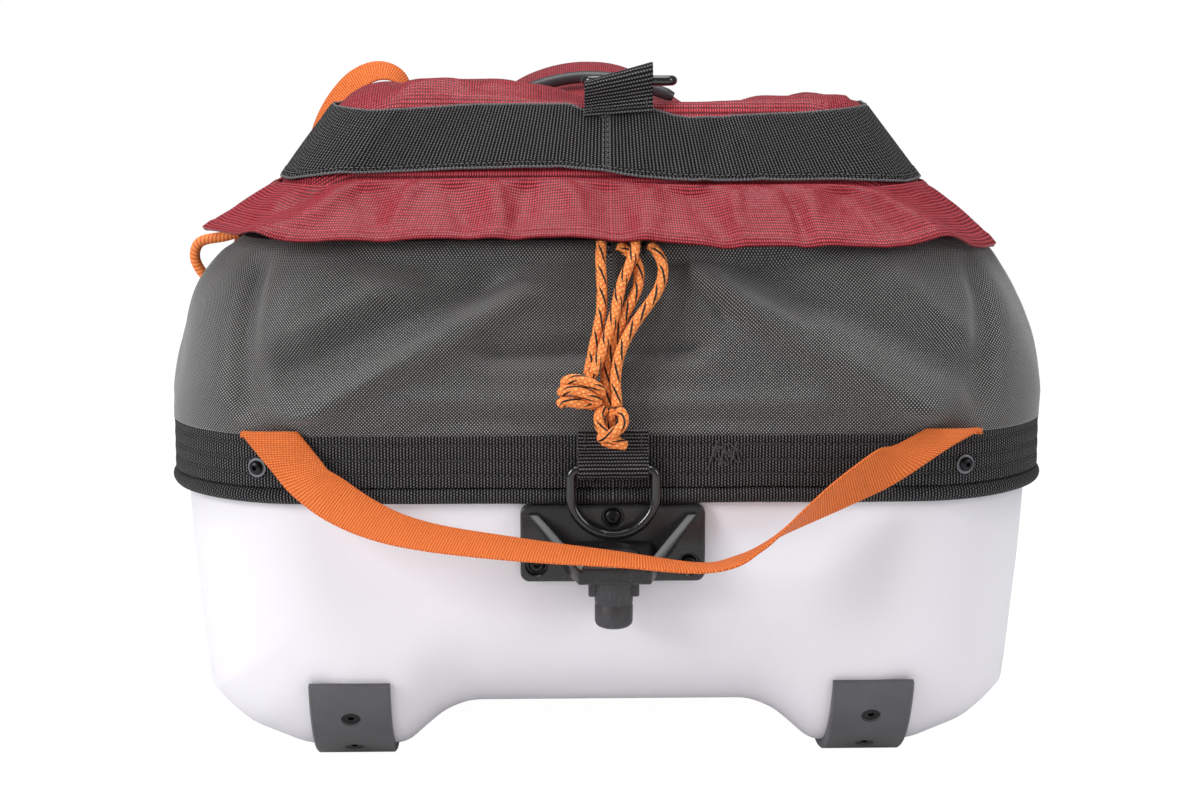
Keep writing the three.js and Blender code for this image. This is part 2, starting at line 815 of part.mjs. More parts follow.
const riserTop = riserLevels[riserLevels.length - 1];
const zipBottom = riserTop.height + gap;
const zipRings = (out) =>
  [zipBottom, zipBottom + zipHeight].map((height) =>
    shellRing(blendLevels(riserTop, coverLevels[0], height), out),
  );
add("zip_chain", sleeve(zipRings(0), zipRings(-zipThickness)), finishes.webbing);

// Cover: the side below and behind the webbing, then the top, which mounds over the load

function coverTopHeight(height) {
  return (x, y) => aboveRim(height)(x, y) + mound(puff, x, y) + mound(crest, x, y);
}

function coverRings(thickness) {
  return coverLevels.map((level, i) => {
    if (i < 2) return shellRing(level, -thickness);
    const inset = i === 2 ? thickness : 0;
    const lowered = level.height - thickness;
    return ring(ownLevel(level, -inset), i === 2 ? aboveRim(lowered) : coverTopHeight(lowered));
  });
}
const coverLoops = [...coverRings(0).reverse(), ...coverRings(fabric)];
const coverTop = add("cover_top", skin(coverLoops, "pinched", coverLevels.length), finishes.cover);

const flapRings = (out) => [flapHem, flapTop].map((level) => shellRing(level, out));
add("cover_flap", sleeve(flapRings(0), flapRings(-fabric)), finishes.cover);

const shoulderAt = (height) => blendLevels(coverLevels[1], coverLevels[2], height);
const webbingRings = (out) => [webbingBottom, webbingTop].map((height) => shellRing(shoulderAt(height), out));
const webbingOut = webbingGap + webbingThickness;
add("cover_webbing", sleeve(webbingRings(webbingOut), webbingRings(webbingGap)), finishes.webbing);

// D-rings hang from a bar along x at the origin, in the plane y = 0

function dRing(half, drop, wire) {
  const points = [];
  const place = (x, z) => points.push(new THREE.Vector3(x, 0, z));
  for (let i = 0; i <= roundSides; i++) {
    const a = (-i / roundSides) * Math.PI;
    place(half * Math.cos(a), half - drop + half * Math.sin(a));
  }
  for (const [hand, from] of [[-1, 2 * quarter], [1, quarter]]) {
    for (let i = 0; i <= 3; i++) {
      const a = from - (i / 3) * quarter;
      place(hand * (half - ringCorner) + ringCorner * Math.cos(a), ringCorner * (Math.sin(a) - 1));
    }
  }
  return wireLoop(points, new THREE.Vector3(0, 1, 0), wire);
}

// A webbing tab folded round such a bar. Its back lies on the plane y = 0, and its plate goes up.
const foldRadius = ringWire + barClearance + tabWall;
const barOut = gap + foldRadius;

function tab(plateLength) {
  const shape = new THREE.Shape();
  shape.moveTo(gap, plateLength);
  shape.lineTo(gap, 0);
  shape.absarc(barOut, 0, foldRadius, Math.PI, 2 * Math.PI, false);
  shape.lineTo(gap + tabPlate, tabTaper);
  shape.lineTo(gap + tabPlate, plateLength);
  const bar = new THREE.Path().absarc(barOut, 0, ringWire + barClearance, 0, 2 * Math.PI, true);
  shape.holes.push(bar);
  const geometry = new THREE.ExtrudeGeometry(shape, { depth: tabWidth, bevelEnabled: false, curveSegments: 4 });
  const upright = new THREE.Matrix4().makeBasis(
    new THREE.Vector3(0, -1, 0),
    new THREE.Vector3(0, 0, 1),
    new THREE.Vector3(-1, 0, 0),
  );
  return closed(geometry.applyMatrix4(upright).translate(tabWidth / 2, 0, 0));
}

// A tab and its ring on a band's face: a place on the face at the bar's height, and a turn about z.
function hangRing(name, point, turn) {
  const tabMesh = add(`${name}_tab`, tab(tabTop - tabBarHeight), finishes.webbing);
  const ringMesh = add(`${name}_d_ring`, dRing(ringHalf, ringDrop, ringWire).translate(0, -barOut, 0), finishes.moulded);
  for (const mesh of [tabMesh, ringMesh]) {
    mesh.position.copy(point);
    mesh.rotation.z = turn;
  }
}

hangRing("rear", new THREE.Vector3(0, -bandOut, tabBarHeight), 0);
hangRing("tow_left", new THREE.Vector3(-hullHalf - bandOut, towTabPlace, tabBarHeight + sheer(towTabPlace)), -quarter);
hangRing("tow_right", new THREE.Vector3(hullHalf + bandOut, towTabPlace, tabBarHeight + sheer(towTabPlace)), quarter);

// The top tab stands up from the webbing's face, and its ring lies forward on the cover

const topTabBarHeight = webbingTop + topTabBarRise;
const webbingFace = (height) => shoulderAt(height - webbingOut / 2).rear - webbingOut;
const lean = Math.atan2(webbingFace(webbingTop) - webbingFace(webbingBottom), webbingTop - webbingBottom);
const topTabFoot = new THREE.Vector3(topTabPlace, webbingFace(topTabBarHeight), topTabBarHeight);
const topBar = topTabFoot.clone().add(new THREE.Vector3(0, -barOut * Math.cos(lean), barOut * Math.sin(lean)));

const topTab = tab(topTabPlateLength).rotateY(2 * quarter).rotateX(-lean);
add("top_tab", topTab.translate(...topTabFoot.toArray()), finishes.webbing);

const topRing = dRing(topRingHalf, topRingDrop, ringWire).rotateX(quarter - THREE.MathUtils.degToRad(2));
add("top_d_ring", topRing.translate(topBar.x + topRingShift, topBar.y, topBar.z), finishes.moulded);

// Rear bracket: a plate with a prow that holds the plug, and two fins down to it

const boreY = bracketFace - boreAhead;
const corners = (places) => places.map(([x, y, z]) => new THREE.Vector3(x, y, z));

function bracketPlate() {
  const half = bracketWidth / 2;
  const shape = new THREE.Shape();
  const c = bracketCorner;
  shape.moveTo(c - half, bracketBottom);
  shape.absarc(half - c, bracketBottom + c, c, -quarter, 0, false);
  shape.absarc(half - c, bracketTop - c, c, 0, quarter, false);
  shape.absarc(c - half, bracketTop - c, c, quarter, 2 * quarter, false);
  shape.absarc(c - half, bracketBottom + c, c, 2 * quarter, 3 * quarter, false);
  const plate = new THREE.ExtrudeGeometry(shape, { depth: bracketThickness, bevelEnabled: false, curveSegments: 2 });
  return plate.rotateX(quarter).translate(0, -gap, 0);
}

function bracketProw() {
  const root = prowRootWidth / 2;
  const lip = prowLipWidth / 2;
  const back = bracketFace + bracketThickness / 2;
  const front = bracketFace - prowDepth;
  const sideShare = 0.85;
  const bottom = corners([[-root, back, prowBottom], [root, back, prowBottom], [lip, front, prowBottom], [-lip, front, prowBottom]]);
  const top = corners([
    [-root * sideShare, back, prowRootHeight],
    [root * sideShare, back, prowRootHeight],
    [lip * sideShare, front, prowLipHeight],
    [-lip * sideShare, front, prowLipHeight],
  ]);
  return skin([bottom, top], "capped");
}

function bracketFin(hand) {
  const back = bracketFace + bracketThickness / 2;
  const front = bracketFace - prowDepth;
  const side = (x) =>
    corners([
      [hand * (finTopSpread + x), back, finTopHeight],
      [hand * (prowRootWidth / 2 + x - finThickness / 2), back, prowBottom],
      [hand * (prowLipWidth / 2 + x - finThickness / 2), front, prowBottom],
      [hand * (prowLipWidth / 2 + x - finThickness / 2), front, prowLipHeight],
      [hand * (finTopSpread + x), bracketFace - finThickness / 2, finTopHeight],
    ]);
  return skin([side(-finThickness / 2), side(finThickness / 2)], "capped");
}

const upward = new THREE.Vector3(0, 0, 1);
const plugPlace = new THREE.Vector3(0, boreY, 0);
const bore = plugRadius + boreClearance;
const counterbore = plugHeadRadius + boreClearance;
const boreLow = prowBottom - overrun;
const boreHigh = prowRootHeight + overrun;
const plugBore = turned(
  [[0, boreLow], [bore, boreLow], [bore, headSeatHeight], [counterbore, headSeatHeight], [counterbore, boreHigh], [0, boreHigh]],
  plugPlace,
  upward,
  20,
);
const bracketBody = join([bracketPlate(), bracketProw(), bracketFin(-1), bracketFin(1)]);
add("rear_bracket", cut(bracketBody, [plugBore, ...bracketHoles]), finishes.moulded);

function bracketScrew({ point, outward }) {
  const seat = gap - bracketHoleDepth;
  const head = seat + bracketHeadHeight;
  const brow = (seat + head) / 2;
  const r = bracketHeadRadius;
  const shank = bracketShankRadius;
  return turned(
    [[0, -bracketScrewEnd], [shank, -bracketScrewEnd], [shank, seat], [r, seat], [r, brow], [(2 * r) / 3, head], [0, head]],
    point,
    outward,
  );
}
addEach("bracket_screw", bracketScrewPlaces, bracketScrew, finishes.blackSteel);

const backingPlate = block(
  new THREE.Vector3(-backingWidth / 2, hullWall + gap, backingBottom),
  new THREE.Vector3(backingWidth / 2, hullWall + gap + backingThickness, bracketTop),
);
add("backing_plate", cut(backingPlate, bracketHoles), finishes.steel);

// Coupling plug: a stem with a head in the counterbore and two lugs under the prow

function couplingPlug() {
  const headBottom = headSeatHeight + gap;
  const headTop = headBottom + plugHeadHeight;
  const dome = plugEdge / 2;
  const stem = turned(
    [
      [0, plugBottom],
      [plugRadius - plugEdge, plugBottom + dome / 2],
      [plugRadius, plugBottom + plugEdge],
      [plugRadius, headBottom],
      [plugHeadRadius, headBottom],
      [plugHeadRadius, headTop - dome],
      [plugHeadRadius - dome, headTop],
      [0, headTop],
    ],
    plugPlace,
    upward,
    20,
  );
  const lugs = block(
    new THREE.Vector3(-lugReach, boreY - lugWidth / 2, lugBottom),
    new THREE.Vector3(lugReach, boreY + lugWidth / 2, prowBottom - gap),
  );
  return join([stem, lugs]);
}
add("coupling_plug", couplingPlug(), finishes.plug);

// Grab strap: hung from two folds at the band's top, it twists half a turn and drapes past the prow.
function grabStrap() {
  const { reach, out, rise } = strapEnd;
  const height = bandTop + gap + foldHeight + rise;
  const ends = [-1, 1].map((hand) => new THREE.Vector3(hand * reach, -out, height));
  const middle = strapShares.map(
    ([across, sag, drop]) => new THREE.Vector3(across * reach, -sag * strapSag, height - drop * strapDrop),
  );
  const curve = new THREE.CatmullRomCurve3([ends[0], ...middle, ends[1]]);
  const twists = [0, ...strapShares.map(([, , , twist]) => THREE.MathUtils.degToRad(twist)), Math.PI];
  const count = 2 * (twists.length - 1);
  const stations = Array.from({ length: count + 1 }, (_, i) => {
    const share = i / count;
    const point = curve.getPoint(share);
    if (i === 0 || i === count) return { point, half: new THREE.Vector3(foldWidth / 2, 0, 0) };
    const along = curve.getTangent(share);
    const up = new THREE.Vector3(0, 0, 1).addScaledVector(along, -along.z).normalize();
    const inward = new THREE.Vector3().crossVectors(up, along);
    const place = i / 2;
    const twist = THREE.MathUtils.lerp(twists[Math.floor(place)], twists[Math.ceil(place)], place % 1);
    const half = up.multiplyScalar(Math.cos(twist)).addScaledVector(inward, Math.sin(twist));
    return { point, half: half.multiplyScalar(strapWidth / 2) };
  });
  return strapAlong(stations, strapThickness);
}
add("grab_strap", grabStrap(), finishes.strap);

// The strap's folds sit on the band's top edge, where its tails go down between band and riser.
function strapFold(hand) {
  const inner = planCorner + bandOut - gap;
  const edge = (x) => planCorner - Math.sqrt(inner ** 2 - (x - (hullHalf - planCorner)) ** 2);
  const near = strapEnd.reach - foldWidth / 2;
  const far = strapEnd.reach + foldWidth / 2;
  const out = gap + strapThickness / 2 - strapEnd.out;
  const plan = [[near, out], [far, out], [far, edge(far)], [near, edge(near)]];
  const low = corners(plan.map(([x, y]) => [hand * x, y, bandTop + gap]));
  const high = corners(plan.map(([x, y]) => [hand * x, y, bandTop + gap + foldHeight]));
  return skin([low, high], "capped");
}
add("strap_fold_left", strapFold(-1), finishes.strap);
add("strap_fold_right", strapFold(1), finishes.strap);

// Small straps, loops and the handle on the cover

function heightOn(mesh, x, y) {
  const ray = new THREE.Raycaster(new THREE.Vector3(x, y, 2 * coverHeight), new THREE.Vector3(0, 0, -1));
  return ray.intersectObject(mesh)[0].point.z;
}

function halfAt(levels, height) {
  const i = levels.findIndex((level) => level.height >= height);
  return blendLevels(levels[i - 1], levels[i], height).half;
}

// The height at which a ball of the given radius rests on a mesh.
function ballOn(mesh, x, y, radius) {
  const heights = [heightOn(mesh, x, y) + radius];
  for (let i = 0; i < roundSides; i++) {
    const a = (i / roundSides) * 2 * Math.PI;
    for (const share of [0.4, 0.8]) {
      const off = share * radius;
      heights.push(heightOn(mesh, x + off * Math.cos(a), y + off * Math.sin(a)) + Math.sqrt(radius ** 2 - off ** 2));
    }
  }
  return Math.max(...heights);
}

function handlePath() {
  const steps = 12;
  return Array.from({ length: steps + 1 }, (_, i) => {
    const share = (2 * i) / steps - 1;
    const x = share * handleSpan;
    const rise = handleRise * (1 - share ** 2);
    return new THREE.Vector3(x, handlePlace, ballOn(coverTop, x, handlePlace, handleWire + 2 * gap) + rise);
  });
}
add("top_handle", cordAlong(handlePath(), handleWire, 14), finishes.moulded);

function shoulderStrap() {
  const rest = gap + strapThickness / 2;
  const height = webbingBottom + shoulderFootRise;
  const foot = halfAt(coverLevels, height - webbingOut / 2) + webbingOut + rest;
  const edges = [-1, 0, 1].map((side) => shoulderPlace + (side * strapWidth) / 2);
  const head = Math.max(...edges.map((y) => heightOn(coverTop, -shoulderHead, y))) + rest;
  const reach = foot - shoulderHead;
  const rise = head - height;
  const archShares = [[0, 0], [-0.16, 0.3], [-0.1, 0.62], [0.12, 0.98], [0.38, 1.27], [0.66, 1.4], [0.86, 1.32], [1, 1]];
  const points = archShares.map(([across, up]) => new THREE.Vector3(-foot + across * reach, shoulderPlace, height + up * rise));
  const curve = new THREE.CatmullRomCurve3(points);
  const count = 12;
  const stations = Array.from({ length: count + 1 }, (_, i) => {
    const along = curve.getTangent(i / count);
    const outward = new THREE.Vector3(-along.z, 0, along.x);
    const turn = shoulderTurn * Math.sin((i / count) * Math.PI);
    const half = new THREE.Vector3(0, Math.cos(turn), 0).addScaledVector(outward, -Math.sin(turn));
    return { point: curve.getPoint(i / count), half: half.multiplyScalar(strapWidth / 2) };
  });
  return strapAlong(stations, strapThickness);
}
add("shoulder_strap_left", shoulderStrap(), finishes.strap);

// A side loop runs out from the riser's top under the flap and back in beside itself.
function sideLoop(hand, { place, reach, drop }, shares) {
  const height = riserTop.height - loopAnchorDrop;
  const anchor = halfAt(riserLevels, height) + loopAnchorOut;
  const strand = [[0, 0], ...shares].map(([out, down]) => [anchor + out * reach, height - down * drop]);
  const points = [
    ...strand.map(([x, z], i) => new THREE.Vector3(hand * x, place - loopSpread * (i < 1 ? 1 : 1.2), z)),
    ...strand.reverse().map(([x, z], i) => new THREE.Vector3(hand * x, place + loopSpread * (i > 3 ? 1 : 1.2), z)),
  ];
  return cordAlong(points, loopWire, 22);
}
add("side_loop_left", sideLoop(-1, leftLoop, leftLoopShares), finishes.strap);
add("side_loop_right", sideLoop(1, rightLoop, rightLoopShares), finishes.strap);

// Zip sliders, their rings, and the closing cords with their knots

// The routes: across, distance ahead of the stern wall, height.
const cordRoutes = {
  cord_left_outer: [
    [-6.6, 23.2, 356],
    [-6.9, 21.9, 351],
    [-7.2, 19.8, 346],
    [-7.1, 17.4, 340.5],
    [-6.8, 15, 334.5],
    [-6.6, 12.4, 328.5],
    [-6.6, 9.6, 322],
    [-6.8, 7.2, 316],
    [-7.6, 5, 310],
    [-8.8, 2.9, 304],
    [-10.3, 0.8, 298],
    [-11.7, -1.2, 292],
    [-13.1, -3.2, 286],
    [-14.4, -5.2, 280],
    [-15.6, -7.4, 274],
  ],
  cord_left_inner: [
    [15.4, 21.6, 356.3],
    [15.1, 18.3, 353.4],
    [14.2, 15.2, 349.8],
    [12.6, 12.8, 345],
    [9.5, 10.6, 338.4],
    [6.4, 8.6, 331],
    [4.3, 6, 324.4],
    [2.9, 3.6, 318],
    [1.4, 1.4, 312],
    [-0.8, -0.9, 305.5],
    [-3.1, -3.2, 299.5],
    [-5.4, -5.9, 293.5],
    [-7.7, -8.6, 287.5],
    [-10.2, -11.6, 281.5],
    [-13, -14.6, 275.3],
  ],
  cord_right_inner: [
    [4.2, 24.2, 353.6],
    [7.2, 23.7, 352],
    [10.7, 23, 349.4],
    [14, 21.6, 345.9],
    [16.6, 19, 341],
    [17.4, 16.6, 335.8],
    [16.9, 13.8, 330],
    [15.2, 11.2, 324.6],
    [12.4, 8.8, 319],
    [9.7, 6.8, 314],
    [7, 5, 308.6],
    [4.4, 3.1, 302.5],
    [1.8, 1.4, 297],
    [-0.8, -0.8, 290],
    [-2.8, -3.2, 283],
    [-4.2, -5.2, 276],
    [-4.6, -7.4, 269],
    [-4, -10.2, 261.5],
    [-4, -13.6, 254],
  ],
  cord_right_outer: [
    [24.7, 23.5, 353.8],
    [27.4, 22.2, 351.4],
    [30, 20.4, 348],
    [32, 18.3, 343.8],
    [32.8, 16, 338.6],
    [32.2, 13.6, 333],
    [30.2, 11.2, 327.6],
    [27, 8.4, 322],
    [22.8, 5.8, 316.6],
    [18.4, 3.2, 311],
    [14, 0.4, 305.2],
    [10, -2.6, 299],
    [6.8, -5.2, 293],
    [4.2, -7.6, 286.6],
    [2.4, -10, 279.6],
    [1.5, -12.4, 272.8],
    [1.4, -14.4, 266.4],
    [1.8, -16.2, 260.4],
    [2.2, -18.2, 255.1],
  ],
};
const knots = {
  knot_left: { place: [-20, -15, 264.8], radii: [13.4, 8.5, 11.8] },
  knot_right: { place: [-1.5, -20.5, 242.8], radii: [10.5, 8, 12.3] },
};
const sliders = { left: -1.6, right: 20.9 };

for (const [name, route] of Object.entries(cordRoutes)) {
  const points = route.map(([x, y, z]) => new THREE.Vector3(x, y, z));
  add(name, cordAlong(points, cordRadius, 14), finishes.cord);
}

for (const [name, { place, radii }] of Object.entries(knots)) {
  const lump = new THREE.SphereGeometry(1, roundSides, wireSides).rotateX(quarter).scale(...radii);
  add(name, closed(lump.translate(...place)), finishes.cord);
}

function pullRing(x) {
  const middle = new THREE.Vector3(x, pullRingPlace, zipBottom - gap - pullRingWire - pullRingRadius);
  const points = Array.from({ length: roundSides }, (_, i) => {
    const a = (i / roundSides) * 2 * Math.PI;
    return middle.clone().add(new THREE.Vector3(0, pullRingRadius * Math.cos(a), pullRingRadius * Math.sin(a)));
  });
  return wireLoop(points, new THREE.Vector3(1, 0, 0), pullRingWire);
}

const zipFace = blendLevels(riserTop, coverLevels[0], zipBottom).rear;
for (const [side, x] of Object.entries(sliders)) {
  const face = zipFace - gap;
  const low = new THREE.Vector3(x - sliderWidth / 2, face - sliderDepth, zipBottom);
  const high = new THREE.Vector3(x + sliderWidth / 2, face, zipBottom + sliderHeight);
  add(`zip_slider_${side}`, block(low, high), finishes.blackSteel);
  add(`pull_ring_${side}`, pullRing(x), finishes.blackSteel);
}

const bounds = new THREE.Box3().setFromObject(sled);
const middle = bounds.getCenter(new THREE.Vector3());
sled.position.set(-middle.x, -middle.y, -bounds.min.z);

export default sled;
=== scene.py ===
import math

import bmesh
import bpy
import numpy as np
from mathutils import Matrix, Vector
from mathutils.bvhtree import BVHTree


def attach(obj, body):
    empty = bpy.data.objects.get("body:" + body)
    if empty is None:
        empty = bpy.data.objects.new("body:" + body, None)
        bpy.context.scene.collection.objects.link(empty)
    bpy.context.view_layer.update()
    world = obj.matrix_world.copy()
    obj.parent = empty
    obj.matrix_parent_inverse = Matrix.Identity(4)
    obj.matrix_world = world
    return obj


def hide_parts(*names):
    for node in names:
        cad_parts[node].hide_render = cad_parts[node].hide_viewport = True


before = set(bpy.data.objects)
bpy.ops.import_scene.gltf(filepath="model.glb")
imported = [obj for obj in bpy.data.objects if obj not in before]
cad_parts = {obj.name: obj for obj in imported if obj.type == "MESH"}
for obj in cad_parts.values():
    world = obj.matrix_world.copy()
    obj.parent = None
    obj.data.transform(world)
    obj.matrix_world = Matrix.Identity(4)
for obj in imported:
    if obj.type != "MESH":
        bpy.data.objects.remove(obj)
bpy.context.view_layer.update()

scene = bpy.context.scene

# The camera stands behind the stern, a little to the left and above the cover, and looks slightly down.
# The view keeps its verticals nearly upright.
LOOK_DOWN, LOOK_RIGHT = 8.59, 1.6


def placed(name, data):
    """An object in the scene."""
    obj = bpy.data.objects.new(name, data)
    scene.collection.objects.link(obj)
    return obj


camera = placed("camera", bpy.data.cameras.new("camera"))
camera.data.sensor_width = 36
camera.data.lens = 71.1
camera.data.clip_end = 50
camera.location = (-0.050, -2.1855, 0.483)
camera.rotation_euler = (math.radians(90 - LOOK_DOWN), 0, math.radians(-LOOK_RIGHT))
scene.camera = camera

# The closing cords: braided 7 mm cord with dark tracer yarns. Each cord is doubled through a slider's
# ring, so four strands hang free down the riser, and their lower ends go into two knots.
STERN = -0.68553   # the hull's stern wall in the row frame
DARK = (0.0025, 0.0025, 0.003)
CORD_RADIUS, KNOT_RADIUS = 0.0035, 0.0034


def mm(points):
    """Points in millimetres, y measured ahead of the stern wall, as row coordinates in metres."""
    return np.array(points, float) / 1000 + (0, STERN, 0)


def lengths(points):
    """The distance along a line at each of its points."""
    return np.r_[0, np.cumsum(np.linalg.norm(np.diff(points, axis=0), axis=1))]


def spline(points, count):
    """Evenly spaced points on a smooth curve through the given ones."""
    p = np.array(points, float)
    p = np.vstack([2 * p[0] - p[1], p, 2 * p[-1] - p[-2]])
    fine = []
    for i in range(1, len(p) - 2):
        t = np.linspace(0, 1, 24, endpoint=i == len(p) - 3)[:, None]
        fine.append(0.5 * (2 * p[i] + (p[i + 1] - p[i - 1]) * t
                           + (2 * p[i - 1] - 5 * p[i] + 4 * p[i + 1] - p[i + 2]) * t ** 2
                           + (3 * p[i] - p[i - 1] - 3 * p[i + 1] + p[i + 2]) * t ** 3))
    fine = np.vstack(fine)
    run = lengths(fine)
    even = np.linspace(0, run[-1], count)
    return np.stack([np.interp(even, run, fine[:, k]) for k in range(p.shape[1])], axis=1)


def units(vectors):
    return vectors / np.linalg.norm(vectors, axis=-1, keepdims=True)


def headings(points):
    """The unit direction of a line at each of its points."""
    return units(np.gradient(points, axis=0))


def circle(count):
    """Evenly spaced angles round a full turn."""
    return np.linspace(0, 2 * math.pi, count, endpoint=False)


def rework(mesh, change=None):
    """Makes a change to a mesh, and turns all its faces outward."""
    work = bmesh.new()
    work.from_mesh(mesh)
    if change is not None:
        change(work)
    bmesh.ops.recalc_face_normals(work, faces=work.faces)
    work.to_mesh(mesh)
    work.free()


def dress(piece, paint, body, node):
    """Paints a piece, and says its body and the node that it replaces."""
    piece.data.materials.append(paint)
    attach(piece, body)
    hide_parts(node)


def lattice(name, grid, uv=None, through=False, ends=False):
    """A mesh over rings of points, one ring a row. through joins the last ring to the first, and ends
    closes the first and the last. uv is one row and one column larger."""
    rows, cols = grid.shape[:2]
    i, j = np.meshgrid(np.arange(rows - (not through)), np.arange(cols), indexing="ij")
    i2, j2 = (i + 1) % rows, (j + 1) % cols
    faces = np.stack([i * cols + j, i * cols + j2, i2 * cols + j2, i2 * cols + j], axis=-1)
    faces = faces.reshape(-1, 4).tolist()
    if ends:
        faces += [list(range(cols))[::-1], [(rows - 1) * cols + k for k in range(cols)]]
    mesh = bpy.data.meshes.new(name)
    mesh.from_pydata(grid.reshape(-1, 3).tolist(), [], faces)
    if uv is not None:
        corners = np.stack([uv[i, j], uv[i, j + 1], uv[i + 1, j + 1], uv[i + 1, j]], axis=2).reshape(-1, 2)
        spare = len(mesh.loops) - len(corners)
        layer = mesh.uv_layers.new(name="UVMap")
        layer.data.foreach_set("uv", np.vstack([corners, np.zeros((spare, 2))]).ravel())
    mesh.polygons.foreach_set("use_smooth", [True] * len(mesh.polygons))
    rework(mesh)
    return placed(name, mesh)


def tube(name, centres, radius, sides=20, uv=True):
    """A round tube along a path, with its turn and its length as uv. radius may be a list."""
    side = np.cross(headings(centres)[0], (0.31, 0.2, 0.93))
    turn = circle(sides)[:, None]
    rings = []
    for centre, ahead, size in zip(centres, headings(centres), np.broadcast_to(radius, len(centres))):
        side = side - ahead * np.dot(side, ahead)
        side /= np.linalg.norm(side)
        rings.append(centre + size * (np.cos(turn) * side + np.sin(turn) * np.cross(ahead, side)))
    table = np.stack(np.meshgrid(np.linspace(0, 1, sides + 1), lengths(centres)), axis=-1)
    return lattice(name, np.array(rings), table if uv else None, ends=True)


class Value:
    """A shader socket that adds and multiplies like a number."""

    def __init__(self, paint, socket):
        self.paint, self.socket = paint, socket

    def math(self, operation, *others):
        return self.paint.node("ShaderNodeMath", {"operation": operation}, self, *others)

    def __add__(self, other):
        return self.math("ADD", other)

    def __sub__(self, other):
        return self.math("SUBTRACT", other)

    def __rsub__(self, other):
        return (self * -1) + other

    def __mul__(self, other):
        return self.math("MULTIPLY", other)

    def __truediv__(self, other):
        return self.math("DIVIDE", other)

    __radd__, __rmul__ = __add__, __mul__

    def sin(self):
        return self.math("SINE")

    def frac(self):
        return self.math("FRACT")

    def abs(self):
        return self.math("ABSOLUTE")

    def max(self, other):
        return self.math("MAXIMUM", other)

    def ramp(self, low, high, a=0.0, b=1.0):
        """Smoothly from a at low to b at high."""
        kinds = {"interpolation_type": "SMOOTHSTEP"}
        return self.paint.node("ShaderNodeMapRange", kinds, self, low, high, a, b)

    def wave(self, pitch):
        """A sine between 0 and 1 that repeats at the pitch."""
        return (self * (2 * math.pi / pitch)).sin() * 0.5 + 0.5


class Paint:
    """A procedural material under construction."""

    def __init__(self, name):
        self.material = bpy.data.materials.new(name)
        self.material.use_nodes = True
        self.tree = self.material.node_tree
        self.bsdf = self.tree.nodes["Principled BSDF"]
        self.whole = self.node("ShaderNodeTexCoord", {}, output=3)

    def node(self, kind, settings, *inputs, output=0, **named):
        made = self.tree.nodes.new(kind)
        for key, value in settings.items():
            setattr(made, key, value)
        for key, value in [*enumerate(inputs), *named.items()]:
            if isinstance(value, Value):
                self.tree.links.new(value.socket, made.inputs[key])
            else:
                made.inputs[key].default_value = value
        return Value(self, made.outputs[output])

    def uv(self):
        split = self.node("ShaderNodeSeparateXYZ", {}, self.node("ShaderNodeUVMap", {"uv_map": "UVMap"}))
        return split, Value(self, split.socket.node.outputs[1])

    def height(self):
        """The height above the ground."""
        return self.node("ShaderNodeSeparateXYZ", {}, self.whole, output=2)

    def noise(self, scale, detail, stretch=None):
        """Noise in the piece's own coordinates, which may be stretched in x, y and z."""
        at = self.whole
        if stretch is not None:
            at = self.node("ShaderNodeVectorMath", {"operation": "MULTIPLY"}, at, stretch)
        return self.node("ShaderNodeTexNoise", {}, Vector=at, Scale=scale, Detail=detail)

    def mix(self, share, a, b):
        four = [c if isinstance(c, Value) else (*c[:3], 1.0) for c in (a, b)]
        made = self.tree.nodes.new("ShaderNodeMix")
        made.data_type = "RGBA"
        for key, value in zip((0, 6, 7), (share, *four)):
            if isinstance(value, Value):
                self.tree.links.new(value.socket, made.inputs[key])
            else:
                made.inputs[key].default_value = value
        return Value(self, made.outputs[2])

    def finish(self, color, roughness, height=None, depth=0.001, **constants):
        """Sets the colour and roughness, bumps the surface by height times depth in metres, and returns
        the material."""
        for key, value in {"Base Color": color, "Roughness": roughness, **constants}.items():
            if isinstance(value, Value):
                self.tree.links.new(value.socket, self.bsdf.inputs[key])
            else:
                self.bsdf.inputs[key].default_value = (*value, 1.0) if isinstance(value, tuple) else value
        if height is not None:
            bump = self.node("ShaderNodeBump", {}, Strength=1.0, Distance=depth, Height=height)
            self.tree.links.new(bump.socket, self.bsdf.inputs["Normal"])
        return self.material


def cord_material():
    """Plaited sheath: two crossing sets of yarns, and black tracer yarns that come up as paired flecks."""
    p = Paint("orange cord")
    turn, run = p.uv()
    left = (turn * 5 + run / 0.0042).frac()
    right = (turn * 5 - run / 0.0042).frac()
    over = (left * 2 - 1).abs() * (right * 2 - 1).abs()
    fuzz = p.noise(900, 3)
    # The yarn colour follows the plait's relief: painted shade where the yarns dip under each other, and a
    # painted highlight on their crowns.
    yarn = p.mix(over.ramp(0.02, 0.5), (0.80, 0.16, 0.024), (1.0, 0.38, 0.09))
    yarn = p.mix(fuzz.ramp(0.4, 0.75) * 0.45, yarn, (1.0, 0.50, 0.18))
    spot = (run / 0.0145 + turn * 2).frac()
    slant = (turn * 3 + spot * 1.4).frac()
    up = (spot - 0.5).abs().ramp(0.2, 0.25, 1, 0)
    fleck = up * (slant - 0.5).abs().ramp(0.17, 0.23, 1, 0)
    color = p.mix(fleck, yarn, DARK)
    return p.finish(color, 0.7, over.ramp(0, 0.5) + fuzz * 0.3, 0.0007)


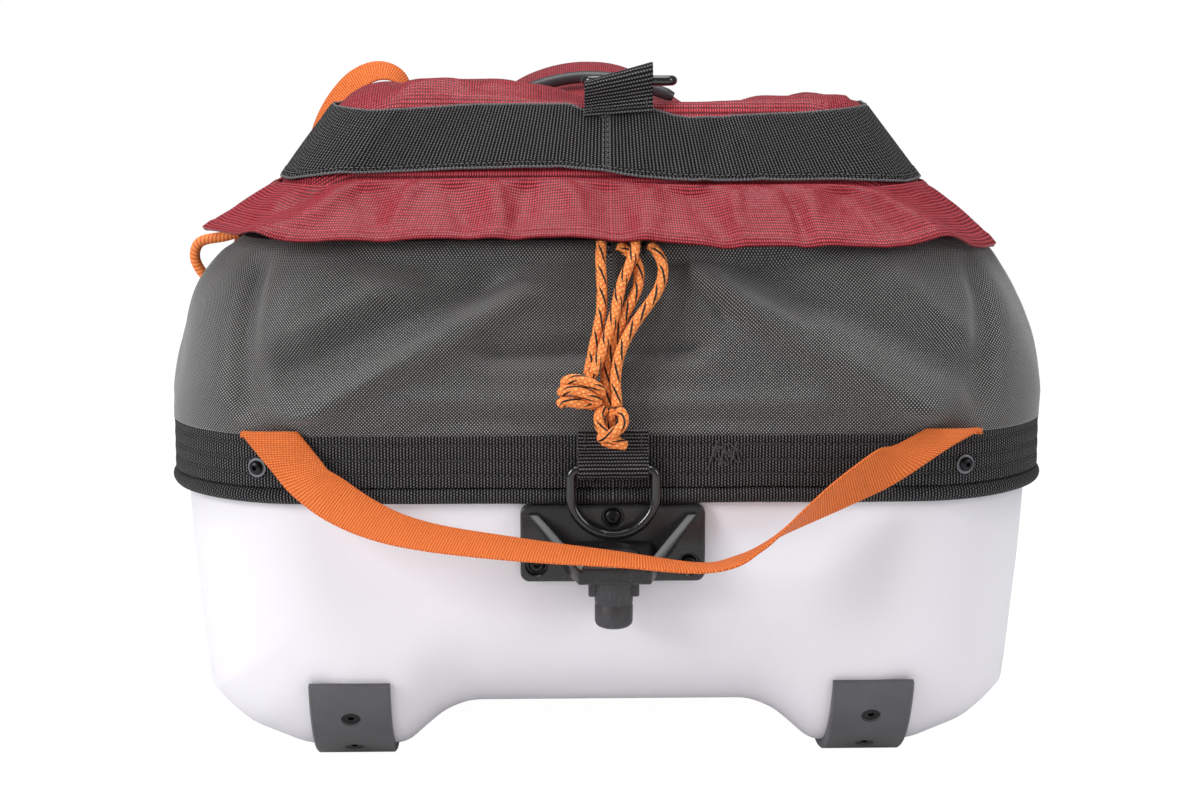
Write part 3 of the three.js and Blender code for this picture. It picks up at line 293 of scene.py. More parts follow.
cord_paint = cord_material()
cord_routes = {
    "cord_left_outer": [
        (-6.6, 23.2, 356), (-6.9, 21.9, 351), (-7.2, 19.8, 346), (-7.1, 17.4, 340.5), (-6.8, 15, 334.5),
        (-6.6, 12.4, 328.5), (-6.6, 9.6, 322), (-6.8, 7.2, 316), (-7.6, 5, 310), (-8.8, 2.9, 304),
        (-10.3, 0.8, 298), (-11.7, -1.2, 292), (-13.1, -3.2, 286), (-14.4, -5.2, 280), (-15.6, -7.4, 274)],
    "cord_left_inner": [
        (15.4, 21.6, 356.3), (15.1, 18.3, 353.4), (14.2, 15.2, 349.8), (12.6, 12.8, 345), (9.5, 10.6, 338.4),
        (6.4, 8.6, 331), (4.3, 6, 324.4), (2.9, 3.6, 318), (1.4, 1.4, 312), (-0.8, -0.9, 305.5),
        (-3.1, -3.2, 299.5), (-5.4, -5.9, 293.5), (-7.7, -8.6, 287.5), (-10.2, -11.6, 281.5),
        (-13, -14.6, 275.3)],
    "cord_right_inner": [
        (4.2, 24.2, 353.6), (7.2, 23.7, 352), (10.7, 23, 349.4), (14, 21.6, 345.9), (16.6, 19, 341),
        (17.4, 16.6, 335.8), (16.9, 13.8, 330), (15.2, 11.2, 324.6), (12.4, 8.8, 319), (9.7, 6.8, 314),
        (7, 5, 308.6), (4.4, 3.1, 302.5), (1.8, 1.4, 297), (-0.8, -0.8, 290), (-2.8, -3.2, 283),
        (-4.2, -5.2, 276), (-4.6, -7.4, 269), (-4, -10.2, 261.5), (-4, -13.6, 254)],
    "cord_right_outer": [
        (24.7, 23.5, 353.8), (27.4, 22.2, 351.4), (30, 20.4, 348), (32, 18.3, 343.8), (32.8, 16, 338.6),
        (32.2, 13.6, 333), (30.2, 11.2, 327.6), (27, 8.4, 322), (22.8, 5.8, 316.6), (18.4, 3.2, 311),
        (14, 0.4, 305.2), (10, -2.6, 299), (6.8, -5.2, 293), (4.2, -7.6, 286.6), (2.4, -10, 279.6),
        (1.5, -12.4, 272.8), (1.4, -14.4, 266.4), (1.8, -16.2, 260.4), (2.2, -18.2, 255.1)],
}
cords = {}
for name, route in cord_routes.items():
    path = spline(mm(route), 200)
    cords[name] = (tube(name + "_braid", path, CORD_RADIUS), path)
    dress(cords[name][0], cord_paint, "closure_left" if "left" in name else "closure_right", name)

# The two knots: overhand knots in the doubled cords, pulled tight, each with a cut and melted end.
# Each is the cord itself, in short wraps that press against each other.
knot_wraps = {
    "left": ((-20, -15, 264.8), [
        [(7, 4, 11), (4, 0, 6), (0, 1, 0), (-2, 3, -5), (3, 3, -8)],
        [(12, -1, -3), (11.4, -4.4, 0.6), (7.5, -6.5, 4.2), (1.5, -7, 7), (-5, -6, 8), (-10, -2.5, 6),
         (-10.5, 2, 2)],
        [(11, -3.5, -8.2), (7.5, -6.8, -4.6), (2, -8.4, -1), (-4.5, -8.2, 1.4), (-10.5, -5.5, 1),
         (-13.5, -1, -2)],
        [(9, 1, -9), (4.5, -4.2, -8.4), (-1.5, -7, -7.4), (-7.5, -7.6, -6.2), (-12, -6.6, -6.6),
         (-14.6, -5.2, -9)],
    ]),
    "right": ((-1.5, -20.5, 242.8), [
        [(2.6, 2.6, 10), (0, 3, 4), (-2, 3.5, -3)],
        [(-3.5, 3.5, 10.5), (-7.4, -0.5, 7.6), (-7.9, -4, 2), (-4.6, -6.2, -3.4), (0.4, -5.8, -7.4),
         (5.5, -3, -9.4)],
        [(3.6, -0.5, 10.6), (7.3, -3, 7), (6.9, -6.4, 1.4), (2, -7.6, -2.6), (-4, -6, -6.4), (-8, -2, -7)],
        [(-5.5, 0, -9.6), (-0.5, -3, -10.6), (5, -3.6, -11), (9.6, -2.4, -12.4)],
    ]),
}
for side, (centre, wraps) in knot_wraps.items():
    pieces = []
    for k, wrap in enumerate(wraps):
        path = spline(mm(np.array(wrap) + centre), 60)
        radius = KNOT_RADIUS * np.minimum(1, np.linspace(0.2, 15, 60)) ** 0.4
        radius = np.minimum(radius, radius[::-1])
        pieces.append(tube(f"knot_{side}_{k}", path, radius))
    with bpy.context.temp_override(active_object=pieces[0], selected_editable_objects=pieces):
        bpy.ops.object.join()
    knot = pieces[0]
    knot.name = f"knot_{side}_tied"
    dress(knot, cord_paint, f"closure_{side}", f"knot_{side}")
    for place in ("outer", "inner"):
        braid, path = cords[f"cord_{side}_{place}"]

# The hull: one tub of pale polyethylene, 4 mm thick and glossy, with two keels, a raised tunnel between
# them and a turned-up bow. It is vacuum formed, so every edge is soft, and its rim hides behind the band.
HALF, LENGTH, CORNER, RIM, KEEL = 287, 1440, 100, 226, 6.3
BOW_START = LENGTH - 470
WALL, HEEL = 4, 95
SHEER_START, SHEER_RISE = 820, 55
BOW_CLIMB, BOW_LIFT = 560, 205
TUNNEL_SIDE = 138


def sheer(y):
    """How far the rim rises towards the bow."""
    return SHEER_RISE * np.maximum(0, (y - SHEER_START) / (LENGTH - SHEER_START)) ** 2


def smooth(x, low, high):
    """A soft step from 0 at low to 1 at high."""
    t = np.clip((x - low) / (high - low), 0, 1)
    return t * t * (3 - 2 * t)


def plan_side(half, straight, rear, corner_end, front, steps=(16, 26, 34)):
    """One side of an outline seen from above, from the stern wall round its corner to the tip of the bow."""
    a = np.linspace(0, math.pi / 2, steps[0] + 1)
    x, y = straight + (half - straight) * np.sin(a), corner_end - (corner_end - rear) * np.cos(a)
    corner = np.stack([x, y], 1)
    y = np.linspace(corner_end, BOW_START, steps[1] + 1)[1:-1]
    flank = np.stack([np.full_like(y, half), y], 1)
    a = np.linspace(0, math.pi / 2, steps[2] + 1)
    across = np.maximum(np.cos(a), 0) ** (2 / 2.3)
    across[-1] = 0
    bow = np.stack([half * across, BOW_START + (front - BOW_START) * np.sin(a) ** (2 / 2.3)], 1)
    return np.vstack([corner, flank, bow])


def follow_rim(out):
    """The rim's outline, moved out by a distance, as plan_side takes it."""
    return HALF + out, HALF - CORNER, -out, CORNER, LENGTH + out


def softened(points, reach):
    """A line with each inner corner rounded, starting the given distance from it."""
    p = np.array(points, float)
    line = [p[0]]
    for i in range(1, len(p) - 1):
        before, after = p[i - 1] - p[i], p[i + 1] - p[i]
        cut = min(reach, 0.45 * np.linalg.norm(before), 0.45 * np.linalg.norm(after))
        a = p[i] + before / np.linalg.norm(before) * cut
        b = p[i] + after / np.linalg.norm(after) * cut
        for t in np.linspace(0, 1, 6):
            line.append((1 - t) ** 2 * a + 2 * t * (1 - t) * p[i] + t * t * b)
    return np.array(line + [p[-1]])


def bottom_lift(y, rear, radius):
    """How far the bottom stands above the keel: round the heel at the stern, and up to the bow."""
    arc = np.maximum(0, radius - (y - rear))
    climb = np.maximum(0, (y - (LENGTH - BOW_CLIMB)) / BOW_CLIMB)
    return radius - np.sqrt(radius ** 2 - np.minimum(arc, radius) ** 2) + BOW_LIFT * climb ** 2.2


TUNNEL_HEIGHT, KEEL_SIDE = 30.5, 202
half_section = [(0, TUNNEL_HEIGHT), (95, TUNNEL_HEIGHT), (112.2, 23.2), (124.2, 12.8), (TUNNEL_SIDE, 0),
                (KEEL_SIDE, 0), (211.8, 2.1), (244.7, 15.5), (258, 26.5), (267.8, 37), (272, 42), (274, 56),
                (282, 138), (HALF, RIM - KEEL)]
section = softened(half_section, 12)


def hull_rows(section, level, radius):
    """The hull's cross section at each place along its side, pulled in where the outline narrows."""
    full = section[-1][0]
    out = section[:, 0]
    rows = []
    for reach, y in plan_side(*level)[:-1]:
        fixed = TUNNEL_SIDE if y < CORNER else 0
        x = np.where(out <= fixed, out, fixed + (out - fixed) * (reach - fixed) / (full - fixed))
        base = KEEL + bottom_lift(y, level[2], radius)
        z = base + section[:, 1] / (RIM - KEEL) * (RIM + sheer(y) - base)
        half = np.stack([x, np.full_like(x, y), z], 1)
        rows.append(np.vstack([half[:0:-1] * (-1, 1, 1), half]))
    return np.array(rows)


def beside(ahead):
    """The direction to the right of each direction in a plane."""
    return np.column_stack([ahead[:, 1], -ahead[:, 0]])


inset = section - beside(headings(section)) * WALL
inset[-1, 1] = section[-1, 1]
inset[0, 0] = 0
outer = hull_rows(section, follow_rim(0), HEEL)
inner = hull_rows(inset, follow_rim(-WALL), HEEL - WALL)
shell = lattice("hull_shell", mm(np.concatenate([outer, inner[:, ::-1]], axis=1)))


def close_ends(work):
    """Faces the hull's open edges at the stern and the bow, and keeps those many-sided faces flat."""
    work.verts.ensure_lookup_table()
    wide = outer.shape[1]
    for start in (0, (len(outer) - 1) * 2 * wide):
        for corners in (range(wide), range(wide, 2 * wide), (0, wide - 1, wide, 2 * wide - 1)):
            work.faces.new([work.verts[start + k] for k in corners])
    for face in work.faces:
        face.smooth = len(face.verts) < 9


rework(shell.data, close_ends)
p = Paint("white polyethylene")
broad = p.noise(5, 2)
fine = p.noise(260, 2)
scuffs = p.noise(3, 5, (30, 30, 60))
# The colour darkens towards the bottom: painted shade where the hull curves under. The scuffs there are wear.
low = p.height().ramp(0.0, 0.09, 1, 0)
color = p.mix(broad * 0.5 + low * 0.25, (0.80, 0.785, 0.83), (0.755, 0.735, 0.795))
color = p.mix(scuffs.ramp(0.6, 0.8) * low * 0.2, color, (0.60, 0.58, 0.62))
hull_paint = p.finish(color, broad * 0.1 + 0.3 + scuffs.ramp(0.5, 0.8) * low * 0.15, fine * 0.3 + broad * 3,
                      0.00025, IOR=1.5)
dress(shell, hull_paint, "sled", "hull")

# The runners: two 6 mm wear strips of dark polyethylene, heated and bent round the stern, screwed to the
# keels from below. Their screws are countersunk steel, and the nuts stand inside the hull.
KEEL_MIDDLE, RUNNER_END = 171.5, 1226
STRIP_HALF, STRIP_IN, STRIP_OUT, STRIP_EDGE = 26.5, 0.3, 6.3, 1.2
side = plan_side(*follow_rim(0))
keel_y = side[:, 1]
keel_z = KEEL + bottom_lift(keel_y, 0, HEEL)
keel_draw = np.where(keel_y > CORNER, side[:, 0] / HALF, 1)
coarse = plan_side(*follow_rim(0), steps=(6, 5, 9))
coarse_z = KEEL + bottom_lift(coarse[:, 1], 0, HEEL)


def keel_point(hand, y, z, draw, across, out, down):
    """A point beside the keel's middle line, out along the direction down from the keel's face."""
    return [hand * (KEEL_MIDDLE * draw + across), y + out * down[0], z + out * down[1]]


def screw_place(hand, span, share):
    """A runner screw's place on the strip's outer face, with the direction out of it."""
    a, b = np.r_[coarse[span], coarse_z[span]], np.r_[coarse[span + 1], coarse_z[span + 1]]
    draws = [c[0] / HALF if c[1] > CORNER else 1 for c in (a, b)]
    at, draw = a + share * (b - a), draws[0] + share * (draws[1] - draws[0])
    rise = np.array([b[2] - a[2], -(b[1] - a[1])]) / math.hypot(b[1] - a[1], b[2] - a[2])
    return np.array(keel_point(hand, at[1], at[2], draw, 0, STRIP_OUT, rise)), np.array([0, *rise])


flat = STRIP_HALF - STRIP_EDGE
half_profile = [(STRIP_HALF, STRIP_IN), (STRIP_HALF, STRIP_OUT - STRIP_EDGE), (flat, STRIP_OUT)]
profile = [(-STRIP_HALF, STRIP_IN), *half_profile, (-flat, STRIP_OUT), (-STRIP_HALF, STRIP_OUT - STRIP_EDGE)]
p = Paint("runner polyethylene")
worn = p.noise(4, 5, (260, 9, 60))
patch = p.noise(45, 3)
low = p.height().ramp(0.0, 0.012, 1, 0)
# Its colours are the strip's own dark tone lifted by a painted reflection.
color = p.mix(patch, (0.058, 0.058, 0.062), (0.100, 0.100, 0.107))
color = p.mix(worn.ramp(0.5, 0.72) * (low * 0.7 + 0.12), color, (0.14, 0.14, 0.145))
runner_paint = p.finish(color, 0.34 + worn * 0.2, worn + patch * 0.6, 0.0003)
p = Paint("zinc plated steel")
grain = p.noise(500, 3)
steel_paint = p.finish(p.mix(grain, (0.36, 0.365, 0.38), (0.56, 0.56, 0.57)), grain * 0.25 + 0.25, grain,
                       0.0001, Metallic=1.0)
p = Paint("blackened steel")
grain = p.noise(700, 3)
rub = p.noise(90, 2).ramp(0.6, 0.75)
black_steel_paint = p.finish(p.mix(rub * 0.4, (0.012, 0.012, 0.014), (0.06, 0.06, 0.065)),
                             grain * 0.2 + 0.22, grain, 0.00008, Metallic=0.6)


def turned(name, outline, place, outward, sides=32):
    """A turned piece from (radius, height) pairs, set at a place and pointing outward."""
    z_axis = Vector(outward).normalized()
    x_axis = z_axis.orthogonal().normalized()
    y_axis = z_axis.cross(x_axis)
    turn = circle(sides)
    rows = []
    for radius, height in outline:
        ring = np.outer(np.cos(turn) * radius, x_axis) + np.outer(np.sin(turn) * radius, y_axis)
        rows.append(ring + np.array(z_axis) * height + place)
    return lattice(name, mm(rows), ends=True)


def bake(piece):
    """Applies a piece's modifiers for good."""
    graph = bpy.context.evaluated_depsgraph_get()
    result = bpy.data.meshes.new_from_object(piece.evaluated_get(graph))
    piece.modifiers.clear()
    piece.data = result


def cut_with(piece, cutters, operation="DIFFERENCE"):
    """Cuts shapes away from a piece for good, or joins them to it, and deletes them."""
    for cutter in cutters:
        made = piece.modifiers.new("cut", "BOOLEAN")
        made.operation = operation
        made.object = cutter
        made.solver = "EXACT"
    bake(piece)
    for cutter in cutters:
        bpy.data.objects.remove(cutter)


def shade_by_angle(piece, degrees=35):
    piece.data.polygons.foreach_set("use_smooth", [True] * len(piece.data.polygons))
    piece.data.set_sharp_from_angle(angle=math.radians(degrees))


def hex_socket(place, outward, across, depth):
    """A six-sided socket's shape, to be cut from a screw's head."""
    radius = across / math.sqrt(3)
    outline = [(radius * 0.6, -depth - 0.6), (radius, -depth), (radius, 0.5)]
    return turned("socket", outline, place, outward, 6)


SINK = [(3, -14), (3, -4), (6.6, -0.4), (6.6, 3)]
COUNTERSUNK = [(2.7, -17), (2.7, -4), (5.9, -0.9), (5.9, -0.5)]
SCREW_SPOTS = ((2, 0.3), (3, 0.8), (13, 0.36))   # each a span of the coarse line, and a share along it
START_SHARE = 0.3
for side_name, hand in (("left", -1), ("right", 1)):
    start = coarse[1] + START_SHARE * (coarse[2] - coarse[1])
    start_z = coarse_z[1] + START_SHARE * (coarse_z[2] - coarse_z[1])
    kept = (keel_y > start[1] + 1) & (keel_y <= RUNNER_END)
    ys = np.r_[start[1], keel_y[kept]]
    zs = np.r_[start_z, keel_z[kept]]
    draws = np.r_[1, keel_draw[kept]]
    downs = beside(headings(np.stack([ys, zs], 1)))
    rows = [[keel_point(hand, y, z, draw, across, out, down) for across, out in profile]
            for y, z, draw, down in zip(ys, zs, draws, downs)]
    strip = lattice(f"runner_{side_name}_strip", mm(rows), ends=True)
    places = [screw_place(hand, *spot) for spot in SCREW_SPOTS]
    cut_with(strip, [turned(f"sink_{k}", SINK, *spot) for k, spot in enumerate(places)])
    shade_by_angle(strip)
    dress(strip, runner_paint, "sled", f"runner_{side_name}")
    for k, (place, outward) in enumerate(places, 1):
        screw = turned(f"runner_screw_{side_name}_{k}_turned", COUNTERSUNK, place, outward)
        cut_with(screw, [hex_socket(place, outward, 4, 2.6)])
        shade_by_angle(screw)
        dress(screw, black_steel_paint, "sled", f"runner_screw_{side_name}_{k}")
        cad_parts[f"runner_nut_{side_name}_{k}"].material_slots[0].material = steel_paint
for name in ("rim_nut_1", "rim_nut_2", "backing_plate"):
    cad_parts[name].material_slots[0].material = steel_paint

# The rim band: black webbing with upright ribs, 33.5 mm high, sewn over the skirt's edge in three rows, with
# its ends lapped a little left of the middle of the stern and a bar tack to the right of it.
# The webbing is black; its near-black gap colour is painted shade between the ribs, and its lighter rib
# colour is a painted highlight on their tops.
BLACK_GAP_SHADE, BLACK_RIB_HIGHLIGHT = (0.0003, 0.0003, 0.0003), (0.17, 0.162, 0.17)
BAND_OUT, GROOVE, FRONT_POINTS = 6.3, 0.9, 56
STITCH_HEIGHTS = (228.2, 218.2, 208.9)


def ring_sides(ring):
    """The outward direction of a closed line in a plane, at each of its points."""
    return beside(units(np.roll(ring, -1, 0) - np.roll(ring, 1, 0)))


def full_plan(level, stern=44, steps=(14, 40, 44)):
    """An outline from the stern's middle round to starboard and back, with its outward directions."""
    side = plan_side(*level, steps=steps)
    x = np.linspace(0, level[1], stern + 1)[:-1]
    half = np.vstack([np.stack([x, np.full_like(x, level[2])], 1), side])
    plan = np.vstack([half, half[-2:0:-1] * (-1, 1)])
    return plan, ring_sides(plan)


def round_run(plan):
    """The distance along a closed outline in millimetres, from the middle of the stern, negative to port."""
    run = np.r_[0, np.cumsum(np.linalg.norm(np.roll(plan, -1, 0) - plan, axis=1))]
    return np.where(run > run[-1] / 2, run - run[-1], run)[:-1]


def sleeve(name, rows, s, v, paint, node):
    """A closed sleeve on the sled, from rows of points round its section. Its uv is the distance s either way
    from the middle of the stern, and v across."""
    uv = np.stack(np.meshgrid(np.abs(np.r_[s, 0]) / 1000, v), -1)
    made = lattice(name, mm(rows), uv, through=True)
    dress(made, paint, "sled", node)
    return made


def ribbed(name, pitch, dark, light, depth=0.001, roughness=0.75, stitch_rows=()):
    """Woven tape: rounded ribs that follow one another along u, each with a fine slanting twist."""
    p = Paint(name)
    along, over = p.uv()
    wander = p.noise(120, 2)
    fuzz = p.noise(1500, 2)
    rib = (along + wander * pitch * 0.25).wave(pitch)
    twist = (over + along * 0.6).wave(0.0019)
    height = rib.ramp(0.08, 0.9)
    for row in stitch_rows:
        height = height * (over - row).abs().ramp(0.0002, 0.0013)
    # The colour runs from the dark colour in the gaps to the light one on the rib tops, lighter on the
    # twist's crests and darker in the stitch grooves: painted shade in the gaps and grooves, and a painted
    # highlight on the ribs.
    tone = height * (twist * 0.55 + 0.42) + fuzz * 0.2 - 0.1
    color = p.mix(tone.ramp(0.32, 0.92), dark, light)
    return p.finish(color, roughness, height + twist * 0.25, depth, IOR=1.3)


band_paint = ribbed("black ribbed webbing", 0.00205, BLACK_GAP_SHADE, BLACK_RIB_HIGHLIGHT)
plan, outward = full_plan(follow_rim(0), stern=70, steps=(26, 60, 60))
s = round_run(plan)


def band_profile():
    """Out and height round the band's section, with a groove at each row of stitches."""
    z = np.linspace(200.9, 233.5, FRONT_POINTS)
    out = np.full_like(z, BAND_OUT)
    for row in STITCH_HEIGHTS:
        out = out - GROOVE * np.exp(-((z - row) / 0.8) ** 2)
    out = out + 0.25 * np.sin((z - 200) / 9.5 * math.pi) ** 2
    back = [(5.9, 234), (3.4, 234), (3.0, 233.4), (3.0, 201), (3.5, 200.5), (5.8, 200.5)]
    return np.vstack([np.stack([out, z], 1), back])


profile = band_profile()
wobble = (0.5 * np.sin(s / 37) + 0.35 * np.sin(s / 14.3 + 1.2)) * smooth(np.abs(s), 0, 60)
lap = 0.9 * (smooth(s, -47, -45.6) - smooth(s, -25, 18))
tack = 0.9 * np.exp(-((s - 71) / 9) ** 2)
rows = []
for k, (out, z) in enumerate(profile):
    grow = out + (lap + tack) * (k < FRONT_POINTS)
    at = plan + outward * grow[:, None]
    rows.append(np.column_stack([at, z + sheer(at[:, 1]) + wobble * 0.4]))
up = lengths(profile) / 1000
sleeve("rim_band_webbing", rows, s, np.r_[up, up[-1] + 0.003], band_paint, "rim_band")


def stitch_tree():
    """Lays one short waxed stitch after another along a line, each in its own direction."""
    tree = bpy.data.node_groups.new("stitch row", "GeometryNodeTree")
    for name, kind in (("Line", "Geometry"), ("Pitch", "Float"), ("Length", "Float"), ("Thickness", "Float"),
                       ("Thread", "Material")):
        tree.interface.new_socket(name, in_out="INPUT", socket_type="NodeSocket" + kind)
    tree.interface.new_socket("Stitches", in_out="OUTPUT", socket_type="NodeSocketGeometry")
    new, link = tree.nodes.new, tree.links.new
    given, body = new("NodeGroupInput"), new("GeometryNodeMeshCylinder")
    tangent, align = new("GeometryNodeInputTangent"), new("FunctionNodeAlignEulerToVector")
    align.axis = "Z"
    body.fill_type = "TRIANGLE_FAN"
    body.inputs["Vertices"].default_value = 6
    chain = [new("GeometryNode" + kind) for kind in ("MeshToCurve", "ResampleCurve", "InstanceOnPoints",
                                                     "RealizeInstances", "SetShadeSmooth", "SetMaterial")]
    resample, scatter, paint = chain[1], chain[2], chain[-1]
    resample.mode = "LENGTH"
    for first, then in zip([given, *chain], [*chain, new("NodeGroupOutput")]):
        link(first.outputs[0], then.inputs[0])
    link(given.outputs["Pitch"], resample.inputs["Length"])
    link(tangent.outputs[0], align.inputs["Vector"])
    link(given.outputs["Length"], body.inputs["Depth"])
    link(given.outputs["Thickness"], body.inputs["Radius"])
    link(body.outputs["Mesh"], scatter.inputs["Instance"])
    link(align.outputs[0], scatter.inputs["Rotation"])
    link(given.outputs["Thread"], paint.inputs["Material"])
    return tree


stitches = stitch_tree()


def sew(name, lines, thread, pitch, length, thickness, closed=True):
    """Stitches along lines of points, which closed joins to rings. They ride on the sled as a plain mesh."""
    points, edges = [], []
    for line in lines:
        line = np.vstack([line, line[:1]]) if closed else line
        edges += [(len(points) + k, len(points) + k + 1) for k in range(len(line) - 1)]
        points += mm(line).tolist()
    mesh = bpy.data.meshes.new(name)
    mesh.from_pydata(points, edges, [])
    piece = placed(name, mesh)
    made = piece.modifiers.new("grown", "NODES")
    made.node_group = stitches
    sizes = {"Pitch": pitch, "Length": length, "Thickness": thickness, "Thread": thread}
    for socket in stitches.interface.items_tree:
        if socket.name in sizes:
            made[socket.identifier] = sizes[socket.name]
    bake(piece)
    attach(piece, "sled")


p = Paint("black thread")
thread_paint = p.finish(p.mix(p.noise(2500, 2), (0.006, 0.006, 0.007), (0.075, 0.073, 0.075)), 0.55)
lines = []
for row in STITCH_HEIGHTS:
    at = plan + outward * (5.95 + lap + tack)[:, None]
    lines.append(np.column_stack([at, row + sheer(at[:, 1]) + wobble * 0.4]))
sew("rim_band_stitches", lines, thread_paint, 0.0042, 0.0033, 0.00042)

# The bar tack to the right of the rear tab: a zigzag of thick thread, sewn to and fro through the band. It
# starts just above the lowest row of stitches, and ends a little below the band's top edge.
TACK_LEFT, TACK_WIDE, TACK_LOW, TACK_HIGH, TACK_TURNS = 62, 19, 212, 17, 21
zigzag = []
for k in range(TACK_TURNS + 1):
    x = TACK_LEFT + TACK_WIDE * k / TACK_TURNS + (2.2 if k % 2 else -1.2)
    z = TACK_LOW + TACK_HIGH * ((k * 7) % 11) / 10 + (3 if k % 2 else 0)
    zigzag.append((x, -7.35, min(z, 231)))
bar_tack = tube("rim_band_bar_tack", spline(mm(zigzag), 240), 0.00055, 6, uv=False)
bar_tack.data.materials.append(thread_paint)
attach(bar_tack, "sled")

# The binding: a tape rolled under the skirt's raw edge, with a cord in it, in a soft roll below the band. It
# is a little fuller just to the right of the stern's middle.
binding_paint = ribbed("black binding tape", 0.00195, BLACK_GAP_SHADE, (0.16, 0.153, 0.16))
ROLL_HEIGHT, ROLL_RADIUS = 195, 5
rows = []
for a in circle(22):
    out = 0.4 + 4 * (1 + math.cos(a) * (1 + 0.12 * math.cos(2 * a)) / 1.12)
    puff = 0.35 * np.sin(s / 21 + 0.5) * math.cos(a)
    at = plan + outward * (out + puff + 0.5 * np.exp(-((s - 20) / 30) ** 2))[:, None]
    height = ROLL_HEIGHT + ROLL_RADIUS * math.sin(a) + sheer(at[:, 1]) + wobble * 0.3
    rows.append(np.column_stack([at, height]))
sleeve("rim_binding_roll", rows, s, np.linspace(0, 0.028, 23), binding_paint, "rim_binding")

# The rim bolts: M5 button heads on broad plated washers, through band, skirt and hull, with nuts inside. One
# stands on each corner of the stern, square to the corner's curve.
p = Paint("dull plated washer")
spots = p.noise(260, 3)
washer_paint = p.finish(p.mix(spots, (0.13, 0.14, 0.155), (0.24, 0.25, 0.27)), spots * 0.3 + 0.35, spots,
                        0.0001, Metallic=0.7)
WASHER = [(2.8, 0.3), (6.1, 0.3), (6.4, 0.6), (6.4, 1.2), (6.1, 1.5), (2.8, 1.5)]
RIM_BOLT = [(2.4, -15), (2.4, 1.5), (4.6, 1.6), (4.75, 2.1), (4.5, 3.2), (3.9, 4.2), (2.9, 4.8)]
BOLT_HEIGHT = 213.4
corner_points = plan_side(*follow_rim(6.4), steps=(6, 5, 9))
for number, hand in ((1, -1), (2, 1)):
    (x1, y1), (x2, y2) = corner_points[1:3]
    away = np.array([hand * (y2 - y1), x1 - x2, 0])
    away = away / np.linalg.norm(away)
    place = np.array([hand * (x1 + x2) / 2, (y1 + y2) / 2, BOLT_HEIGHT]) + away * 0.7
    washer = turned(f"rim_washer_{number}_turned", WASHER, place, away, 40)
    bolt = turned(f"rim_bolt_{number}_turned", RIM_BOLT, place, away, 40)
    cut_with(bolt, [hex_socket(place + away * 4.4, away, 3, 2.2)])
    shade_by_angle(washer)
    shade_by_angle(bolt)
    dress(washer, washer_paint, "sled", f"rim_washer_{number}")
    dress(bolt, black_steel_paint, "sled", f"rim_bolt_{number}")

# The riser: a sleeve of coated charcoal cloth, sewn to the skirt under the band and closed to the cover by
# the zip. Nothing stiffens it, so it creases where the cover pulls it back over the load.
COVER, BAND_TOP, CLOTH = 441, 234, 1.6
SETTLE, SETTLE_START, SETTLE_END = 0.567, 380, 1320
# Each level is shares of share_sizes: half width, how far the stern and the bow stand back, corner, height.
riser_shares = [(1.024, -0.06, -0.06, 1.06, 0.5306), (1.024, -0.06, -0.06, 1.06, 0.5533),
                (1.019, -0.05, -0.05, 1.05, 0.585), (0.993, 0.04, 0.06, 0.98, 0.6599),
                (0.955, 0.14, 0.18, 0.88, 0.7256), (0.895, 0.26, 0.35, 0.74, 0.7823),
                (0.85, 0.34, 0.48, 0.64, 0.8073)]
share_sizes = np.array([HALF, CORNER, CORNER, CORNER, COVER])


def above_rim(height, y):
    """The height of the cloth: it keeps level amidships and settles towards the bow."""
    fall = SETTLE * smooth(y, SETTLE_START, SETTLE_END)
    return BAND_TOP + sheer(y) + (height - BAND_TOP) * (1 - fall)


def shell_rows(levels, count, **steps):
    """Rings of points from one level to the next, in even steps, with the outward direction at each point."""
    rings, ways = [], []
    for half, rear, set_back, corner, height in spline(levels, count):
        ring, away = full_plan((half, half - corner, rear, rear + corner, LENGTH - set_back), **steps)
        rings.append(np.column_stack([ring, above_rim(height, ring[:, 1])]))
        ways.append(np.column_stack([away, np.zeros(len(away))]))
    rings, ways = np.array(rings), np.array(ways)
    climb = headings(rings)
    return rings, units(ways - climb * (ways * climb).sum(-1)[..., None])


def ridge(x, z, line, width, height):
    """A fold along a line from (x1, z1) to (x2, z2), that fades out at both ends."""
    x1, z1, x2, z2 = line
    run = math.hypot(x2 - x1, z2 - z1)
    along = ((x - x1) * (x2 - x1) + (z - z1) * (z2 - z1)) / run
    off = ((x - x1) * (z2 - z1) - (z - z1) * (x2 - x1)) / run
    past = np.maximum(0, np.maximum(-along, along - run))
    return height * np.exp(-(off / width) ** 2 - (past / (1.6 * width)) ** 2)


riser_levels = np.array(riser_shares) * share_sizes
rings, ways = shell_rows(riser_levels, 84, stern=84, steps=(26, 66, 60))
base = rings[0, :, :2]
s = round_run(base)
level_z = spline(riser_levels, 84)[:, 4]
S, Z = np.meshgrid(s, level_z)
fold = 2.3 * sum(ridge(S, Z, *spec) for spec in (
    ((-60, 322, -196, 246), 9, 4), ((-88, 330, -206, 282), 12, -4.8), ((-120, 300, -215, 262), 9, -1.6),
    ((57, 336, 199, 250), 9, 4), ((104, 338, 222, 281), 14, -4), ((46, 344, 70, 318), 8, -3),
    ((-74, 288, 50, 290), 8, -4.2), ((-125, 254, 122, 252), 11, 2.4), ((-30, 312, 60, 306), 12, -1.6),
    ((-252, 330, -238, 262), 12, -3.6), ((262, 322, 244, 262), 13, -3.4), ((-160, 345, -120, 338), 9, -2.6),
    ((140, 300, 205, 262), 8, 1.6), ((-196, 300, -160, 318), 8, 1.8), ((190, 330, 230, 300), 9, 1.6)))
